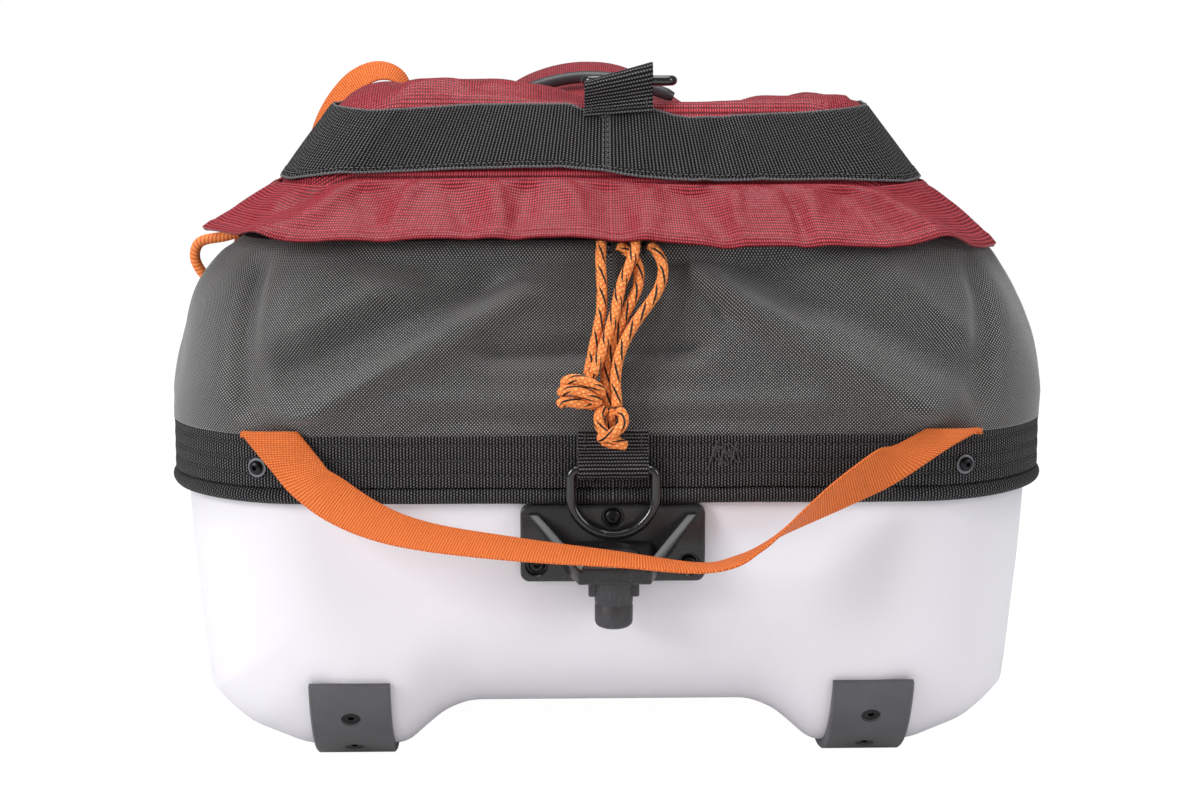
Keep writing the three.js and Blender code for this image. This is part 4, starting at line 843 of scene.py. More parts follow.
for k in range(15):
    away_from_stern = 330 + 92 * k
    for hand in (-1, 1):
        lean = 46 * math.sin(2.1 * k + hand)
        long_fold = (hand * away_from_stern, 338, hand * away_from_stern + lean, 252)
        short_fold = (hand * (away_from_stern + 38), 320, hand * (away_from_stern + 60 + lean), 300)
        fold = fold + ridge(S, Z, long_fold, 15, 3.2 * (-1) ** k)
        fold = fold + ridge(S, Z, short_fold, 20, -2.4)
held = smooth(Z, BAND_TOP, 250) * (1 - smooth(Z, 344, 354))
soft = 0.8 * np.sin(S / 31 + Z / 17) + 0.6 * np.sin(S / 19 - Z / 23 + 1)
# The closing cords slide along here, so the cloth stays back from their path.
cord_path = np.exp(-((S - 5) / 136) ** 8)
push = (fold + soft - 8.5 * cord_path) * held
push = np.where(push > 0, push * (1 - cord_path), push)
cloth = rings + ways * push[..., None]
section_rows = np.concatenate([cloth, (cloth - ways * CLOTH)[::-1]])
rise = lengths(rings[:, 0]) / 1000
rise = np.r_[rise, rise[::-1] + 0.3, 0.6]

p = Paint("charcoal coated cloth")
u, v = p.uv()
DOT = 0.0011
dots = (u / DOT * math.pi).sin() * (v / DOT * math.pi).sin()
grime = p.noise(26, 3)
glint = p.noise(1600, 1)
bead = dots.ramp(0.2, 0.7)
# The beads are painted light, lighter still where the glint noise is high, and the weave between them near
# black: a painted highlight on the beads and painted shade between them.
color = p.mix(bead * (glint * 0.5 + 0.65), (0.006, 0.0058, 0.0056), (0.42, 0.41, 0.40))
color = p.mix(grime.ramp(0.45, 0.8) * 0.25, color, (0.05, 0.049, 0.046))
riser_paint = p.finish(color, 0.58 - bead * 0.24, bead, 0.0005, IOR=1.35, **{"Sheen Weight": 0.45})
riser = sleeve("riser_cloth", section_rows, s, rise, riser_paint, "riser")
round_length = np.linalg.norm(np.roll(base, -1, 0) - base, axis=1).sum() / 1000

# The zip: a ring of coil zip that joins riser and cover behind the flap, with two sliders at the stern.
# Each slider has a small ring, and a closing cord is doubled through it.
TOP_SHARES = [(0.838, 0.37, 0.52, 0.62, 0.8204), (0.756, 0.55, 1.3, 0.5, 0.8912),
              (0.631, 0.72, 2.3, 0.42, 1.0),
              (0.575, 0.88, 2.5, 0.5, 0.9966), (0.436, 1.3, 3, 0.6, 0.9909), (0.279, 1.9, 3.5, 0.6, 0.9841),
              (0.139, 2.4, 4, 0.4, 0.9796), (0, 2.9, 4.5, 0, 0.9773)]
top_levels = np.array(TOP_SHARES) * share_sizes


def between(low, high, height):
    """The level at a height between two others."""
    return low + (height - low[4]) / (high[4] - low[4]) * (high - low)


zip_low, zip_high = (between(riser_levels[-1], top_levels[0], riser_levels[-1][4] + d) for d in (0.3, 5.3))
rings, ways = shell_rows(np.array([zip_low, zip_high]), 6)
tape = np.concatenate([rings - ways * 0.2, (rings - ways * 2.4)[::-1]])
zip_paint = ribbed("black coil zip", 0.0014, BLACK_GAP_SHADE, (0.03, 0.03, 0.032))
s = round_run(rings[0, :, :2])
sleeve("zip_coil", tape, s, np.linspace(0, 0.015, 13), zip_paint, "zip_chain")
RING_RADIUS, WIRE_RADIUS, RING_Y = 2.9, 1.2, 24
for side_name, x in (("left", -1.6), ("right", 20.9)):
    outline = np.array([(-3.4, 0), (3.4, 0), (5, 2), (3.6, 4.6), (5, 7), (-5, 7), (-3.6, 4.6), (-5, 2)])
    rows = []
    for depth, grow in ((0, 0.9), (0.6, 1), (3.2, 1), (3.8, 0.62), (5.4, 0.62), (6, 1), (8.9, 1), (9.5, 0.9)):
        ring = (outline - (0, 3.5)) * grow + (0, 3.5)
        y = np.full(len(ring), zip_low[1] - 0.3 - depth)
        rows.append(np.column_stack([x + ring[:, 0], y, zip_low[4] + ring[:, 1]]))
    slider = lattice(f"zip_slider_{side_name}_body", mm(rows), ends=True)
    shade_by_angle(slider)
    middle = np.array((x, RING_Y, zip_low[4] - 0.6 - WIRE_RADIUS - RING_RADIUS))
    ring_rows = []
    for a in circle(40):
        way = np.array((0, math.cos(a), math.sin(a)))
        ring_rows.append([middle + way * (RING_RADIUS + WIRE_RADIUS * math.cos(b))
                          + np.array((WIRE_RADIUS * math.sin(b), 0, 0)) for b in circle(14)])
    pull = lattice(f"pull_ring_{side_name}_wire", mm(ring_rows), through=True)
    for piece, node in ((slider, f"zip_slider_{side_name}"), (pull, f"pull_ring_{side_name}")):
        dress(piece, black_steel_paint, f"closure_{side_name}", node)

# The cover: red coated ripstop nylon, pulled over the load. It stands up in a puff at the left of the stern
# and over a bulge in the load further forward, and sags between them.
p = Paint("red ripstop")
u, v = p.uv()
warp, weft = u.wave(0.0017), v.wave(0.0017)
weave = (warp * weft).ramp(0.05, 0.7)
line_u, line_v = (((way / 0.0072).frac() - 0.5).abs().ramp(0.455, 0.475) for way in (u, v))
line = line_u.max(line_v)
cloudy = p.noise(14, 3)
glint = p.noise(1500, 1)
# The thread crossings are painted light, lighter still where the glint noise is high, and the gaps dark red:
# a painted highlight on the weave and painted shade in its gaps.
color = p.mix(weave * (glint * 0.7 + 0.5), (0.11, 0.004, 0.009), (0.84, 0.085, 0.115))
color = p.mix(cloudy.ramp(0.3, 0.75) * 0.35, color, (0.22, 0.009, 0.018))
# The ripstop lines are painted lighter: a painted highlight on the raised threads.
color = p.mix(line * 0.18, color, (0.64, 0.12, 0.155))
creases = p.noise(55, 3)
cover_paint = p.finish(color, 0.44 - weave * 0.1, weave * 0.8 + line * 0.4 + creases * 6, 0.0004, IOR=1.38)


def mound(x, y, at, across, along, height):
    """A rounded rise of the given height, that fades out across and along."""
    return height * np.exp(-(((x - at[0]) / across) ** 2 + ((y - at[1]) / along) ** 2) ** 2)


def drawn_in(rings, low):
    """The cover sits askew: its right side is drawn in by 9 mm, fully so from 36 mm above the low height."""
    shift = 9 * smooth(rings[..., 0], 40, 190) * smooth(rings[..., 2], low, low + 36)
    return rings - shift[..., None] * np.array((1, 0, 0))


TOP_ROWS = 110
table = spline(np.column_stack([top_levels, [0, 0, 0, 1, 1, 1, 1, 1]]), TOP_ROWS)
rings, ways = shell_rows(top_levels, TOP_ROWS, stern=60, steps=(18, 90, 56))
rings = drawn_in(rings, 356)
x, y = rings[..., 0], rings[..., 1]
raised = np.clip(table[:, 5], 0, 1)[:, None]
rings[..., 2] += raised * (mound(x, y, (-103, 140), 78, 78, 21) + mound(x, y, (-5, 680), 85, 203, 49))
near_stern = np.exp(-((y - 96) / 34) ** 2)
rings[..., 2] += raised * near_stern * 9 * np.clip((x - 36) / 124, 0, 1) * (1 - smooth(x, 160, 165))
rings[..., 2] += raised * sum(ridge(x, y, *spec) for spec in (
    ((-52, 96, 12, 150), 9, 4.5), ((-90, 88, -40, 170), 8, -3.2), ((-148, 92, -120, 190), 9, -3.6),
    ((-132, 84, -70, 96), 6, 3), ((60, 92, 110, 200), 12, -3.4), ((20, 92, 40, 260), 14, -3),
    ((100, 110, 60, 330), 14, 3), ((-20, 330, -110, 420), 16, 3.6), ((70, 430, 112, 600), 15, -4),
    ((-70, 470, -125, 620), 15, -4), ((-14, 840, -60, 1000), 18, 4), ((40, 820, 90, 960), 18, -3.5),
    ((-150, 300, -158, 900), 7, -2.5), ((150, 260, 156, 860), 7, -2.5)))
rings[..., 2] += raised * (1.2 * np.sin(x / 23 + y / 41) + 0.9 * np.sin(y / 29 - x / 37 + 1))
ways = np.nan_to_num(ways)
under = rings - (ways * (1 - raised[..., None]) + np.array((0, 0, 1)) * raised[..., None]) * CLOTH
both = np.concatenate([under[::-1], rings])
flat_uv = mm(both)[..., :2]
top = lattice("cover_cloth", mm(both), np.concatenate([flat_uv, flat_uv[:, :1]], axis=1))
rework(top.data, lambda work: bmesh.ops.remove_doubles(work, verts=work.verts, dist=2e-5))
dress(top, cover_paint, "sled", "cover_top")

# The storm flap: a strip of the same ripstop sewn under the webbing, that hangs over the zip. Its hem is
# turned and stitched, it puckers under the webbing, and its corners lift.
FLAP_ROWS, FLAP_DROP = 34, 38
BOTTOM_WAVE = ([-260, -215, -182, -104, -33, -7, 19, 59, 163, 206, 260],
               [0, -1.2, 4, 7.1, 8.3, 5.7, 1.7, -0.9, 0.2, -3, 0])
TOP_WAVE = ([-250, -185, -105, -32, -6, 27, 60, 100, 171, 250],
            [0, -3, 1.5, 1.5, -7, -0.5, -7.5, -6, -3.3, 0])
HEM_WAVE = ([-420, -300, -258, -221, -180, -84, -27, -8, 50, 95, 172, 224, 262, 330, 450],
            [0, 2, 5, -1.8, -0.6, 1.1, 2.3, 0.9, -3.7, -5.1, -4.6, -0.9, -6, -11, -3])
FLAP_TOP, HEM = 391, 358
flap_shares = [(0.775, 0.5, 1.08, 0.53, FLAP_TOP / COVER), (0.944, 0.15, 0.26, 0.84, HEM / COVER)]
flap_rows = np.array(flap_shares) * share_sizes
rings, ways = shell_rows(flap_rows, FLAP_ROWS, stern=90, steps=(30, 90, 56))
s = round_run(rings[-1, :, :2])
rings = drawn_in(rings, 300)
S, V = np.meshgrid(s, np.linspace(0, 1, FLAP_ROWS))
far = smooth(np.abs(S), 260, 420)
lift = np.interp(S, *BOTTOM_WAVE)
sway = 2.0 * np.sin(S / 47) * far + np.interp(S, *HEM_WAVE)
rings[..., 2] += lift * (1 - V) ** 2 + sway * V ** 2
pucker = 1.15 * sum(ridge(S, V * FLAP_DROP, line, 1.5 * width, height) for line, width, height in (
    ((-172, 6, -150, 30), 7, -3.6), ((-140, 4, -146, 22), 5, 2.4), ((-112, 2, -96, 26), 6, -3),
    ((-84, 3, -72, 24), 5, 2.6), ((-58, 2, -62, 30), 7, -3.4), ((-30, 3, -22, 20), 5, 2),
    ((-4, 4, 4, 26), 7, -2.6), ((30, 2, 24, 24), 6, 2.6), ((56, 3, 74, 32), 8, -3.6),
    ((92, 3, 88, 22), 6, 2.6), ((116, 2, 132, 30), 7, -3.4), ((150, 3, 142, 26), 6, 2.8),
    ((172, 4, 190, 32), 8, -3.8), ((-196, 4, -224, 34), 9, 4.2), ((-214, 2, -248, 26), 8, -4.4),
    ((-176, 34, -60, 33), 5, 1.6), ((206, 2, 228, 34), 8, 4.2), ((226, 4, 256, 28), 8, -4),
    ((20, 34, 150, 34), 5, 1.8), ((-244, 20, -232, 36), 7, 3.4)))
for k in range(26):
    for hand in (-1, 1):
        at = hand * (285 + 48 * k + 9 * math.sin(5.1 * k))
        line = (at, 3, at + 12 * math.sin(k + hand), 30)
        pucker = pucker + ridge(S, V * FLAP_DROP, line, 8, 2.6 * (-1) ** k)
pucker = pucker + 0.35 * np.sin(S / 9.5 + V * 3) * (1 - V)
held = smooth(V, 0.0, 0.16)
cuff = 0.9 * smooth(V, 0.865, 0.875) - 0.5 * np.exp(-((V - 0.865) / 0.012) ** 2)
slider_path = np.exp(-((S - 108) / 30) ** 6)
pucker = np.maximum(pucker, 1.5 - 20 * (1 - slider_path))
pucker = pucker - 2 * smooth(S, 235, 320) * (1 - smooth(S, 420, 620))
pucker = np.maximum(pucker, -2.5 - 20 * (1 - smooth(S, 150, 190)))
hang = pucker * held + lift * -0.6 * (1 - V) ** 2
outside = rings + ways * (hang + cuff)[..., None]
inside = rings + ways * (hang - 1.2)[..., None]
v = np.r_[0, np.cumsum(np.full(2 * FLAP_ROWS, 0.0012))]
both = np.concatenate([outside, inside[::-1]])
flap = sleeve("cover_flap_cloth", both, s, v, cover_paint, "cover_flap")
p = Paint("red thread")
red_thread = p.finish(p.mix(p.noise(2500, 2), (0.30, 0.03, 0.04), (0.62, 0.12, 0.15)), 0.6)
hem_line = outside[round(0.86 * (FLAP_ROWS - 1))] + ways[-1] * 0.35
sew("cover_flap_stitches", [hem_line], red_thread, 0.0031, 0.0022, 0.0003)

# The cover's webbing: 50 mm black tape with upright ribs, sewn round the cover's shoulder through the flap's
# top edge. It is joined at the middle of the stern, and it creases where the cover below it is slack.
TAPE_ROWS, TAPE_WIDTH = 30, 50
low, high = between(top_levels[1], top_levels[2], 393.5), between(top_levels[1], top_levels[2], 440.5)
rings, ways = shell_rows(np.array([low, high]), TAPE_ROWS, stern=110, steps=(30, 90, 56))
s = round_run(rings[0, :, :2])
rings = drawn_in(rings, 356)
S, V = np.meshgrid(s, np.linspace(0, 1, TAPE_ROWS))
climb = rings[-1] - rings[0]
climb /= climb[..., 2:]
wave = np.interp(S, *BOTTOM_WAVE) * (1 - V) + np.interp(S, *TOP_WAVE) * V
crease = sum(ridge(S, V * TAPE_WIDTH, *spec) for spec in (
    ((42, 8, 50, 52), 5, -5), ((62, 0, 58, 40), 5, 3.6), ((74, 20, 88, 52), 6, -4.6),
    ((104, 0, 100, 30), 7, 2.6), ((-2, 0, 0, 50), 9, 1.6), ((20, 10, 26, 50), 6, 1.8),
    ((-60, 0, -70, 30), 9, 1.4), ((-130, 10, -100, 46), 12, -1.6), ((132, 12, 150, 46), 9, -2),
    ((-176, 0, -168, 46), 6, 1.6)))
for k in range(14):
    for hand in (-1, 1):
        at = hand * (260 + 84 * k + 15 * math.sin(3.3 * k))
        crease = crease + ridge(S, V * TAPE_WIDTH, (at, 4, at + 10, 44), 9, 2.0 * (-1) ** k)
pressed = np.maximum(crease, -0.4) * 0.9 + np.minimum(crease, 0) * 0.3
centre = rings + climb * wave[..., None] + ways * pressed[..., None]
edge = 0.9 * (np.abs(V - 0.5) > 0.499)
front = centre + ways * (3.4 - edge + 0.5 * np.exp(-((V - 0.015) / 0.03) ** 2))[..., None]
back = centre + ways * (0.9 + edge * 0.3)[..., None]
v = np.r_[np.linspace(0, 0.050, TAPE_ROWS), np.linspace(0.052, 0.102, TAPE_ROWS), 0.104]
cover_tape_paint = ribbed("black cover webbing", 0.00245, BLACK_GAP_SHADE, BLACK_RIB_HIGHLIGHT, 0.0012, stitch_rows=(0.0035,))
both = np.concatenate([front, back[::-1]])
sleeve("cover_webbing_tape", both, s, v, cover_tape_paint, "cover_webbing")
p = Paint("grey edge yarn")
edge_yarn = p.finish(p.mix(p.noise(2200, 2), (0.02, 0.02, 0.022), (0.22, 0.21, 0.22)), 0.7)
edges = [front[0] + ways[0] * 0.1, front[-1] - climb[-1] * 0.2]
sew("cover_webbing_edges", edges, edge_yarn, 0.0025, 0.0021, 0.0009)
sew("cover_webbing_stitches", [front[2] + ways[2] * 0.1], edge_yarn, 0.0036, 0.0024, 0.0004)
joint = [front[:, k] + ways[:, k] * 0.2 for k in (np.argmin(np.abs(s + 1)), np.argmin(np.abs(s + 4.2)))]
sew("cover_webbing_joint", joint, edge_yarn, 0.0034, 0.0024, 0.0004, closed=False)

# The tabs: loops of 45 mm webbing, folded round a D-ring's bar and sewn flat. One hangs from the band at the
# stern, one stands on the cover's webbing, and two near the bow take the hauling traces.
tab_paint = ribbed("black tab webbing", 0.00235, BLACK_GAP_SHADE, BLACK_RIB_HIGHLIGHT, 0.0012)


def tab_loop(name, node, foot, across, out, up, plate, lean=0.0):
    """One strap, down its front layer, round the bar and up its back layer. foot is on the band at the bar's
    height, and plate is how far the strap reaches up from there."""
    half = 22.5
    foot, across, out, up = (np.array(v, float) for v in (foot, across, out, up))
    turn = [(6.4 + 5 * math.cos(a), 5 * math.sin(a)) for a in np.linspace(0.55, -math.pi, 22)]
    front, back = [(3.55, plate), (3.55, 17), (4.6, 12), (8.6, 6.2)], [(1.4, 6), (1.4, 14), (1.4, plate)]
    line = spline(front + turn + back, 110)
    side = beside(headings(line))

    def place(t, off, rise):
        return foot + t * half * across + off * out + (rise + lean * t * (1 - 0.7 * rise / plate)) * up

    stations = np.array([-1, -0.985, -0.94, -0.6, -0.2, 0.2, 0.6, 0.94, 0.985, 1])
    rows = []
    for t in stations:
        thin = 1 - 0.35 * max(0, abs(t) - 0.94) / 0.06
        ring = np.vstack([line + side * thin, (line - side * thin)[::-1]])
        rows.append(place(t, ring[:, :1], ring[:, 1:]))
    run = lengths(line) / 1000
    uv = np.stack(np.meshgrid(np.r_[run, run[::-1], 0], stations * half / 1000), -1)
    dress(lattice(name, mm(rows), uv, ends=True), tab_paint, "sled", node)
    square = [(-0.8, plate - 3), (0.8, plate - 3), (0.8, 11), (-0.8, 11), (-0.8, plate - 3)]
    corners = [place(a, 4.75, b) for a, b in square]
    seam = np.vstack([np.linspace(a, b, 12)[:-1] for a, b in zip(corners, corners[1:])])
    sew(name + "_stitches", [seam], thread_paint, 0.0036, 0.0027, 0.0004)


# The D-rings: 6.5 mm wire with a glossy black coat, bent to a D and welded at the middle of the bar. A tab's
# fold holds each by its bar.
p = Paint("black coated wire")
skin_noise = p.noise(160, 3)
chips = p.noise(420, 4).ramp(0.66, 0.72)
wire_paint = p.finish(p.mix(chips * 0.7, (0.010, 0.010, 0.011), (0.05, 0.05, 0.05)),
                      skin_noise * 0.14 + 0.13 + chips * 0.2, skin_noise + chips * -0.6, 0.00012,
                      **{"Coat Weight": 0.4})
D_WIRE = 3.25


def d_ring(name, body, bar, across, drop_way, half=27.3, drop=42.3):
    """A D whose bar runs along across at the given place, and whose bow reaches out along drop_way."""
    corner = 4.6
    path = [(half * math.cos(t), half - drop + half * math.sin(t)) for t in np.linspace(0, -math.pi, 46)]
    for hand, begin in ((-1, math.pi), (1, math.pi / 2)):
        path += [(hand * (half - corner) + corner * math.cos(t), corner * (math.sin(t) - 1))
                 for t in np.linspace(begin, begin - math.pi / 2, 9)]
    closed = np.array(path + path[:1])
    run = lengths(closed)
    even = np.linspace(0, run[-1], 181)[:-1]
    line = np.stack([np.interp(even, run, closed[:, k]) for k in (0, 1)], 1)
    across, drop_way = np.array(across, float), np.array(drop_way, float)
    flat = np.cross(across, drop_way)
    rows = []
    for (u, w), (du, dw) in zip(line, ring_sides(line)):
        centre = np.array(bar) + u * across - w * drop_way
        sideways = du * across - dw * drop_way
        rows.append([centre + D_WIRE * (math.cos(b) * sideways + math.sin(b) * flat) for b in circle(22)])
    dress(lattice(name + "_wire", mm(rows), through=True), wire_paint, body, name)


BAR_HEIGHT, BAR_OUT, TAB_PLATE, TOW_Y, TOW_OUT = 213, 6.4, 25.5, 883, 293.4
tab_loop("rear_tab_loop", "rear_tab", (0, -BAR_OUT, BAR_HEIGHT), (1, 0, 0), (0, -1, 0), (0, 0, 1), TAB_PLATE)
d_ring("rear_d_ring", "rear_ring", (0, -2 * BAR_OUT, BAR_HEIGHT), (1, 0, 0), (0, 0, -1))
for side_name, hand in (("left", -1), ("right", 1)):
    height = BAR_HEIGHT + float(sheer(TOW_Y))
    tab_loop(f"tow_{side_name}_tab_loop", f"tow_{side_name}_tab", (hand * TOW_OUT, TOW_Y, height), (0, 1, 0),
             (hand, 0, 0), (0, 0, 1), TAB_PLATE)
    d_ring(f"tow_{side_name}_d_ring", f"tow_ring_{side_name}", (hand * (TOW_OUT + BAR_OUT), TOW_Y, height),
           (0, 1, 0), (0, 0, -1))

# The top tab leans with the webbing. It is slack, so its left end sits lower, and its ring lies forward on
# the cover.
slope = math.radians(19.51)
leaning_out = np.array((0, -math.cos(slope), math.sin(slope)))
top_bar = np.array((6, 67.28, 458.137))
tab_loop("top_tab_loop", "top_tab", top_bar - BAR_OUT * leaning_out, (1, 0, 0), leaning_out,
         (0, -math.sin(slope), -math.cos(slope)), 21.5, lean=-5.6)
tilt = math.radians(2)
forward = (0, math.cos(tilt), -math.sin(tilt))
d_ring("top_d_ring", "top_ring", top_bar + (7, 0, 0), (1, 0, 0), forward, 28.5, 40)

# The top handle: a strap with a round rubber cover, 10 mm thick, that arches over the bulge in the load. Its
# line rests on the cover's highest points below it, and rises a little in the middle.
HANDLE_Y, HANDLE_HALF, HANDLE_RISE, ABOVE = 480, 66, 4, 600
HANDLE_POINTS = 120
DOWN = Vector((0, 0, -1))
cover_tree = BVHTree.FromPolygons([v.co for v in top.data.vertices],
                                  [f.vertices[:] for f in top.data.polygons])


def cover_height(x, y):
    """The height of the cover below a place, in millimetres."""
    return cover_tree.ray_cast(Vector(mm((x, y, ABOVE))), DOWN)[0].z * 1000


handle_line = []
for share in np.linspace(-1, 1, 13):
    x = share * HANDLE_HALF
    reach = max(cover_height(x + dx, HANDLE_Y + dy) + math.sqrt(max(0, 31 - dx ** 2 - dy ** 2))
                for dx in (-4, 0, 4) for dy in (-4, 0, 4))
    handle_line.append((x, HANDLE_Y, reach + HANDLE_RISE * (1 - share ** 2)))
p = Paint("black handle rubber")
grain = p.noise(900, 3)
handle_paint = p.finish(p.mix(p.noise(60, 2), (0.018, 0.018, 0.02), (0.055, 0.055, 0.062)),
                        grain * 0.15 + 0.3, grain, 0.0001)
from_end = np.linspace(0.55, 12, HANDLE_POINTS)
taper = 0.005 * np.minimum(1, np.minimum(from_end, from_end[::-1]) ** 0.5)
handle = tube("top_handle_strap", mm(spline(handle_line, HANDLE_POINTS)), taper, uv=False)
dress(handle, handle_paint, "sled", "top_handle")

# The rear bracket: one black nylon moulding, bolted through the hull. Two fins run down to a prow, whose
# bore takes the coupling plug. Every edge has a small radius.
p = Paint("black moulded nylon")
grain = p.noise(1300, 2)
flow = p.noise(26, 3)
rubbed = p.noise(230, 4).ramp(0.6, 0.72)
color = p.mix(flow, (0.010, 0.010, 0.011), (0.022, 0.021, 0.022))
color = p.mix(rubbed * 0.35, color, (0.06, 0.06, 0.062))
nylon_paint = p.finish(color, grain * 0.12 + flow * 0.14 + 0.16, grain * 0.4 + flow * 2, 0.00012)


def bevelled(name, loops, width, segments=3):
    """A solid between loops of points, with its edges rounded."""
    def round_edges(work):
        bmesh.ops.dissolve_limit(work, angle_limit=0.01, verts=work.verts, edges=work.edges)
        sharp = [e for e in work.edges if e.calc_face_angle(0) > 0.3]
        bmesh.ops.bevel(work, geom=sharp, offset=width / 1000, segments=segments, profile=0.5,
                        affect="EDGES", clamp_overlap=True)

    made = lattice(name, mm(loops), ends=True)
    rework(made.data, round_edges)
    return made


def rounded_plate(half, low, high, corner, y):
    """The outline of an upright plate with round corners, at a distance y ahead of the stern wall."""
    points = []
    for x, z, begin in ((half - corner, low + corner, -90), (half - corner, high - corner, 0),
                        (corner - half, high - corner, 90), (corner - half, low + corner, 180)):
        for a in np.radians(np.linspace(begin, begin + 90, 9)):
            points.append((x + corner * math.cos(a), y, z + corner * math.sin(a)))
    return points


def flat_at(z, rear, front, rear_y=-3, front_y=-43.3):
    """Four corners at a height, with the half widths at both ends."""
    return [(-rear, rear_y, z), (rear, rear_y, z), (front, front_y, z), (-front, front_y, z)]


plate_steps = [(59.5, 139, 189, 6, -0.3), (59.5, 139, 189, 6, -5.9), (59.2, 139.3, 188.7, 5.8, -6.7),
               (58.4, 140.1, 187.9, 5.2, -7.2), (57.6, 140.9, 187.1, 4.6, -7.3)]
plate = lattice("rear_bracket_moulding", mm([rounded_plate(*step) for step in plate_steps]), ends=True)
prow_top = [(-26.4, -3, 167), (26.4, -3, 167), (19.6, -43.3, 154), (-19.6, -43.3, 154)]
prow = bevelled("prow", [flat_at(145, 31, 23), prow_top], 2.4, 5)
fins = []
for hand in (-1, 1):
    side = [[(hand * (51 + x), -3, 184), (hand * (27.5 + x), -3, 145), (hand * (19.5 + x), -43.3, 145),
             (hand * (19.5 + x), -43.3, 154), (hand * (51 + x), -10.8, 184)] for x in (-3.5, 3.5)]
    fins.append(bevelled(f"fin_{hand}", side, 1.1))
lip = bevelled("lip", [flat_at(145, 23, 22, -38), flat_at(156.4, 21, 20.5, -38)], 1.6, 4)
cut_with(plate, [prow, *fins, lip], "UNION")
UP, AWAY = (0, 0, 1), (0, -1, 0)
bore_place = (0, -24.5, 0)
screw_places = ((0, -7.3, 181), (-49, -7.3, 150), (49, -7.3, 150))
BORE = [(13.6, 140), (13.6, 145.2), (12.7, 146.2), (12.7, 152.5), (16.5, 152.6), (16.5, 175)]
RECESS = [(3.1, -12), (3.1, -4), (6.8, -4), (6.8, -0.9), (7.9, 0.3), (7.9, 4)]
BUTTON_HEAD = [(2.8, -14), (2.8, 0), (5.3, 0.05), (5.5, 0.6), (5.3, 1.7), (4.4, 2.7), (3.3, 3.2)]
recesses = [turned(f"recess_{k}", RECESS, place, AWAY, 40) for k, place in enumerate(screw_places)]
cut_with(plate, [turned("bore", BORE, bore_place, UP, 48), *recesses])
shade_by_angle(plate, 30)
dress(plate, nylon_paint, "sled", "rear_bracket")
for k, place in enumerate(screw_places, 1):
    place = np.array(place) + (0, 3.7, 0)
    screw = turned(f"bracket_screw_{k}_turned", BUTTON_HEAD, place, AWAY, 40)
    cut_with(screw, [hex_socket(place + (0, -2.9, 0), AWAY, 4, 2.2)])
    shade_by_angle(screw)
    dress(screw, black_steel_paint, "sled", f"bracket_screw_{k}")

# The coupling plug: a stub of dark grey rubber-covered steel with two bayonet lugs, that hangs by its head in
# the prow and turns there.
p = Paint("dark grey plug")
grain = p.noise(1100, 3)
broad = p.noise(40, 3)
scrape = p.noise(3, 4, (300, 300, 40)).ramp(0.58, 0.7)
color = p.mix(broad, (0.024, 0.024, 0.027), (0.044, 0.043, 0.048))
plug_paint = p.finish(p.mix(scrape * 0.4, color, (0.11, 0.11, 0.115)), grain * 0.2 + 0.38,
                      grain + scrape * -0.5, 0.00015)
STUB = [(5, 113.5), (8.2, 113.7), (10.2, 114.6), (11.6, 116), (12.2, 118), (12.2, 128), (11.9, 128.6),
        (11.9, 130), (12.2, 130.6), (12.2, 152.8), (15.4, 152.9), (16, 153.5), (16, 160.2), (15.6, 161.2),
        (14.6, 161.8)]
plug = turned("coupling_plug_stub", STUB, bore_place, UP, 56)
lugs = bevelled("lugs", [flat_at(z, 16.2, 16.2, -28, -21) for z in (133.6, 144.7)], 1.2)
cut_with(plug, [lugs], "UNION")
shade_by_angle(plug, 32)
dress(plug, plug_paint, "plug", "coupling_plug")

# The grab strap: 29 mm orange webbing with fine cross ribs. It hangs from two folds at the band's top edge,
# and turns over once on its way, so it shows its other face at the right.
# The darker orange is painted shade in the gaps between the ribs and the strands.
ORANGE_GAP_SHADE = (0.66, 0.13, 0.028)
strap_paint = ribbed("orange strap webbing", 0.00175, ORANGE_GAP_SHADE, (1.0, 0.285, 0.066), 0.0006, 0.6)
STRAP_HALF = 14.5


def strap(name, centres, halves, body, node):
    """A flat strap along centres, in millimetres. halves are vectors from its middle to one edge."""
    thick, cup = 0.9, 0.5
    through = units(np.cross(headings(centres), halves))
    t = np.r_[-1, np.linspace(-0.96, 0.96, 13), 1]
    full = np.where(np.abs(t) > 0.97, 0.45, 1)
    section = [*zip(t, full), *zip(t[::-1], -full[::-1])]
    cols = [centres + halves * a + through * (k * thick + cup * (1 - a * a) - cup * 0.5) for a, k in section]
    width = np.linalg.norm(halves, axis=1).max() / 1000
    across = np.array([a for a, _ in section] + [-1]) * width
    uv = np.stack(np.meshgrid(lengths(centres) / 1000, across, indexing="ij"), -1)
    dress(lattice(name, mm(np.stack(cols, axis=1)), uv, ends=True), strap_paint, body, node)


# Each row is a share of the half span, of the sag and of the drop, and the twist in degrees.
HALF_SPAN, SAG, DROP, START_OUT, START_Z, FOLD_HALF = 219, 62, 78, 8.5, 238, 18.5
hang = [(-0.927, 0.226, 0.244, 8), (-0.863, 0.339, 0.423, 25), (-0.717, 0.5, 0.654, 52),
        (-0.553, 0.661, 0.782, 66), (-0.288, 0.871, 0.859, 74), (0, 1, 0.923, 84), (0.256, 0.984, 1, 92),
        (0.388, 0.839, 0.91, 105),
        (0.521, 0.645, 0.692, 125), (0.662, 0.468, 0.474, 150), (0.813, 0.306, 0.256, 170)]
stations = [(HALF_SPAN * a, -SAG * b, START_Z - DROP * c, t) for a, b, c, t in hang]
ends = [(-HALF_SPAN, -START_OUT, START_Z, 0), (HALF_SPAN, -START_OUT, START_Z, 180)]
path = spline([ends[0], *stations, ends[1]], 300)
centres, twist = path[:, :3], np.radians(path[:, 3:])
ahead = headings(centres)
upward = units(np.array((0, 0, 1)) - ahead * ahead[:, 2:])
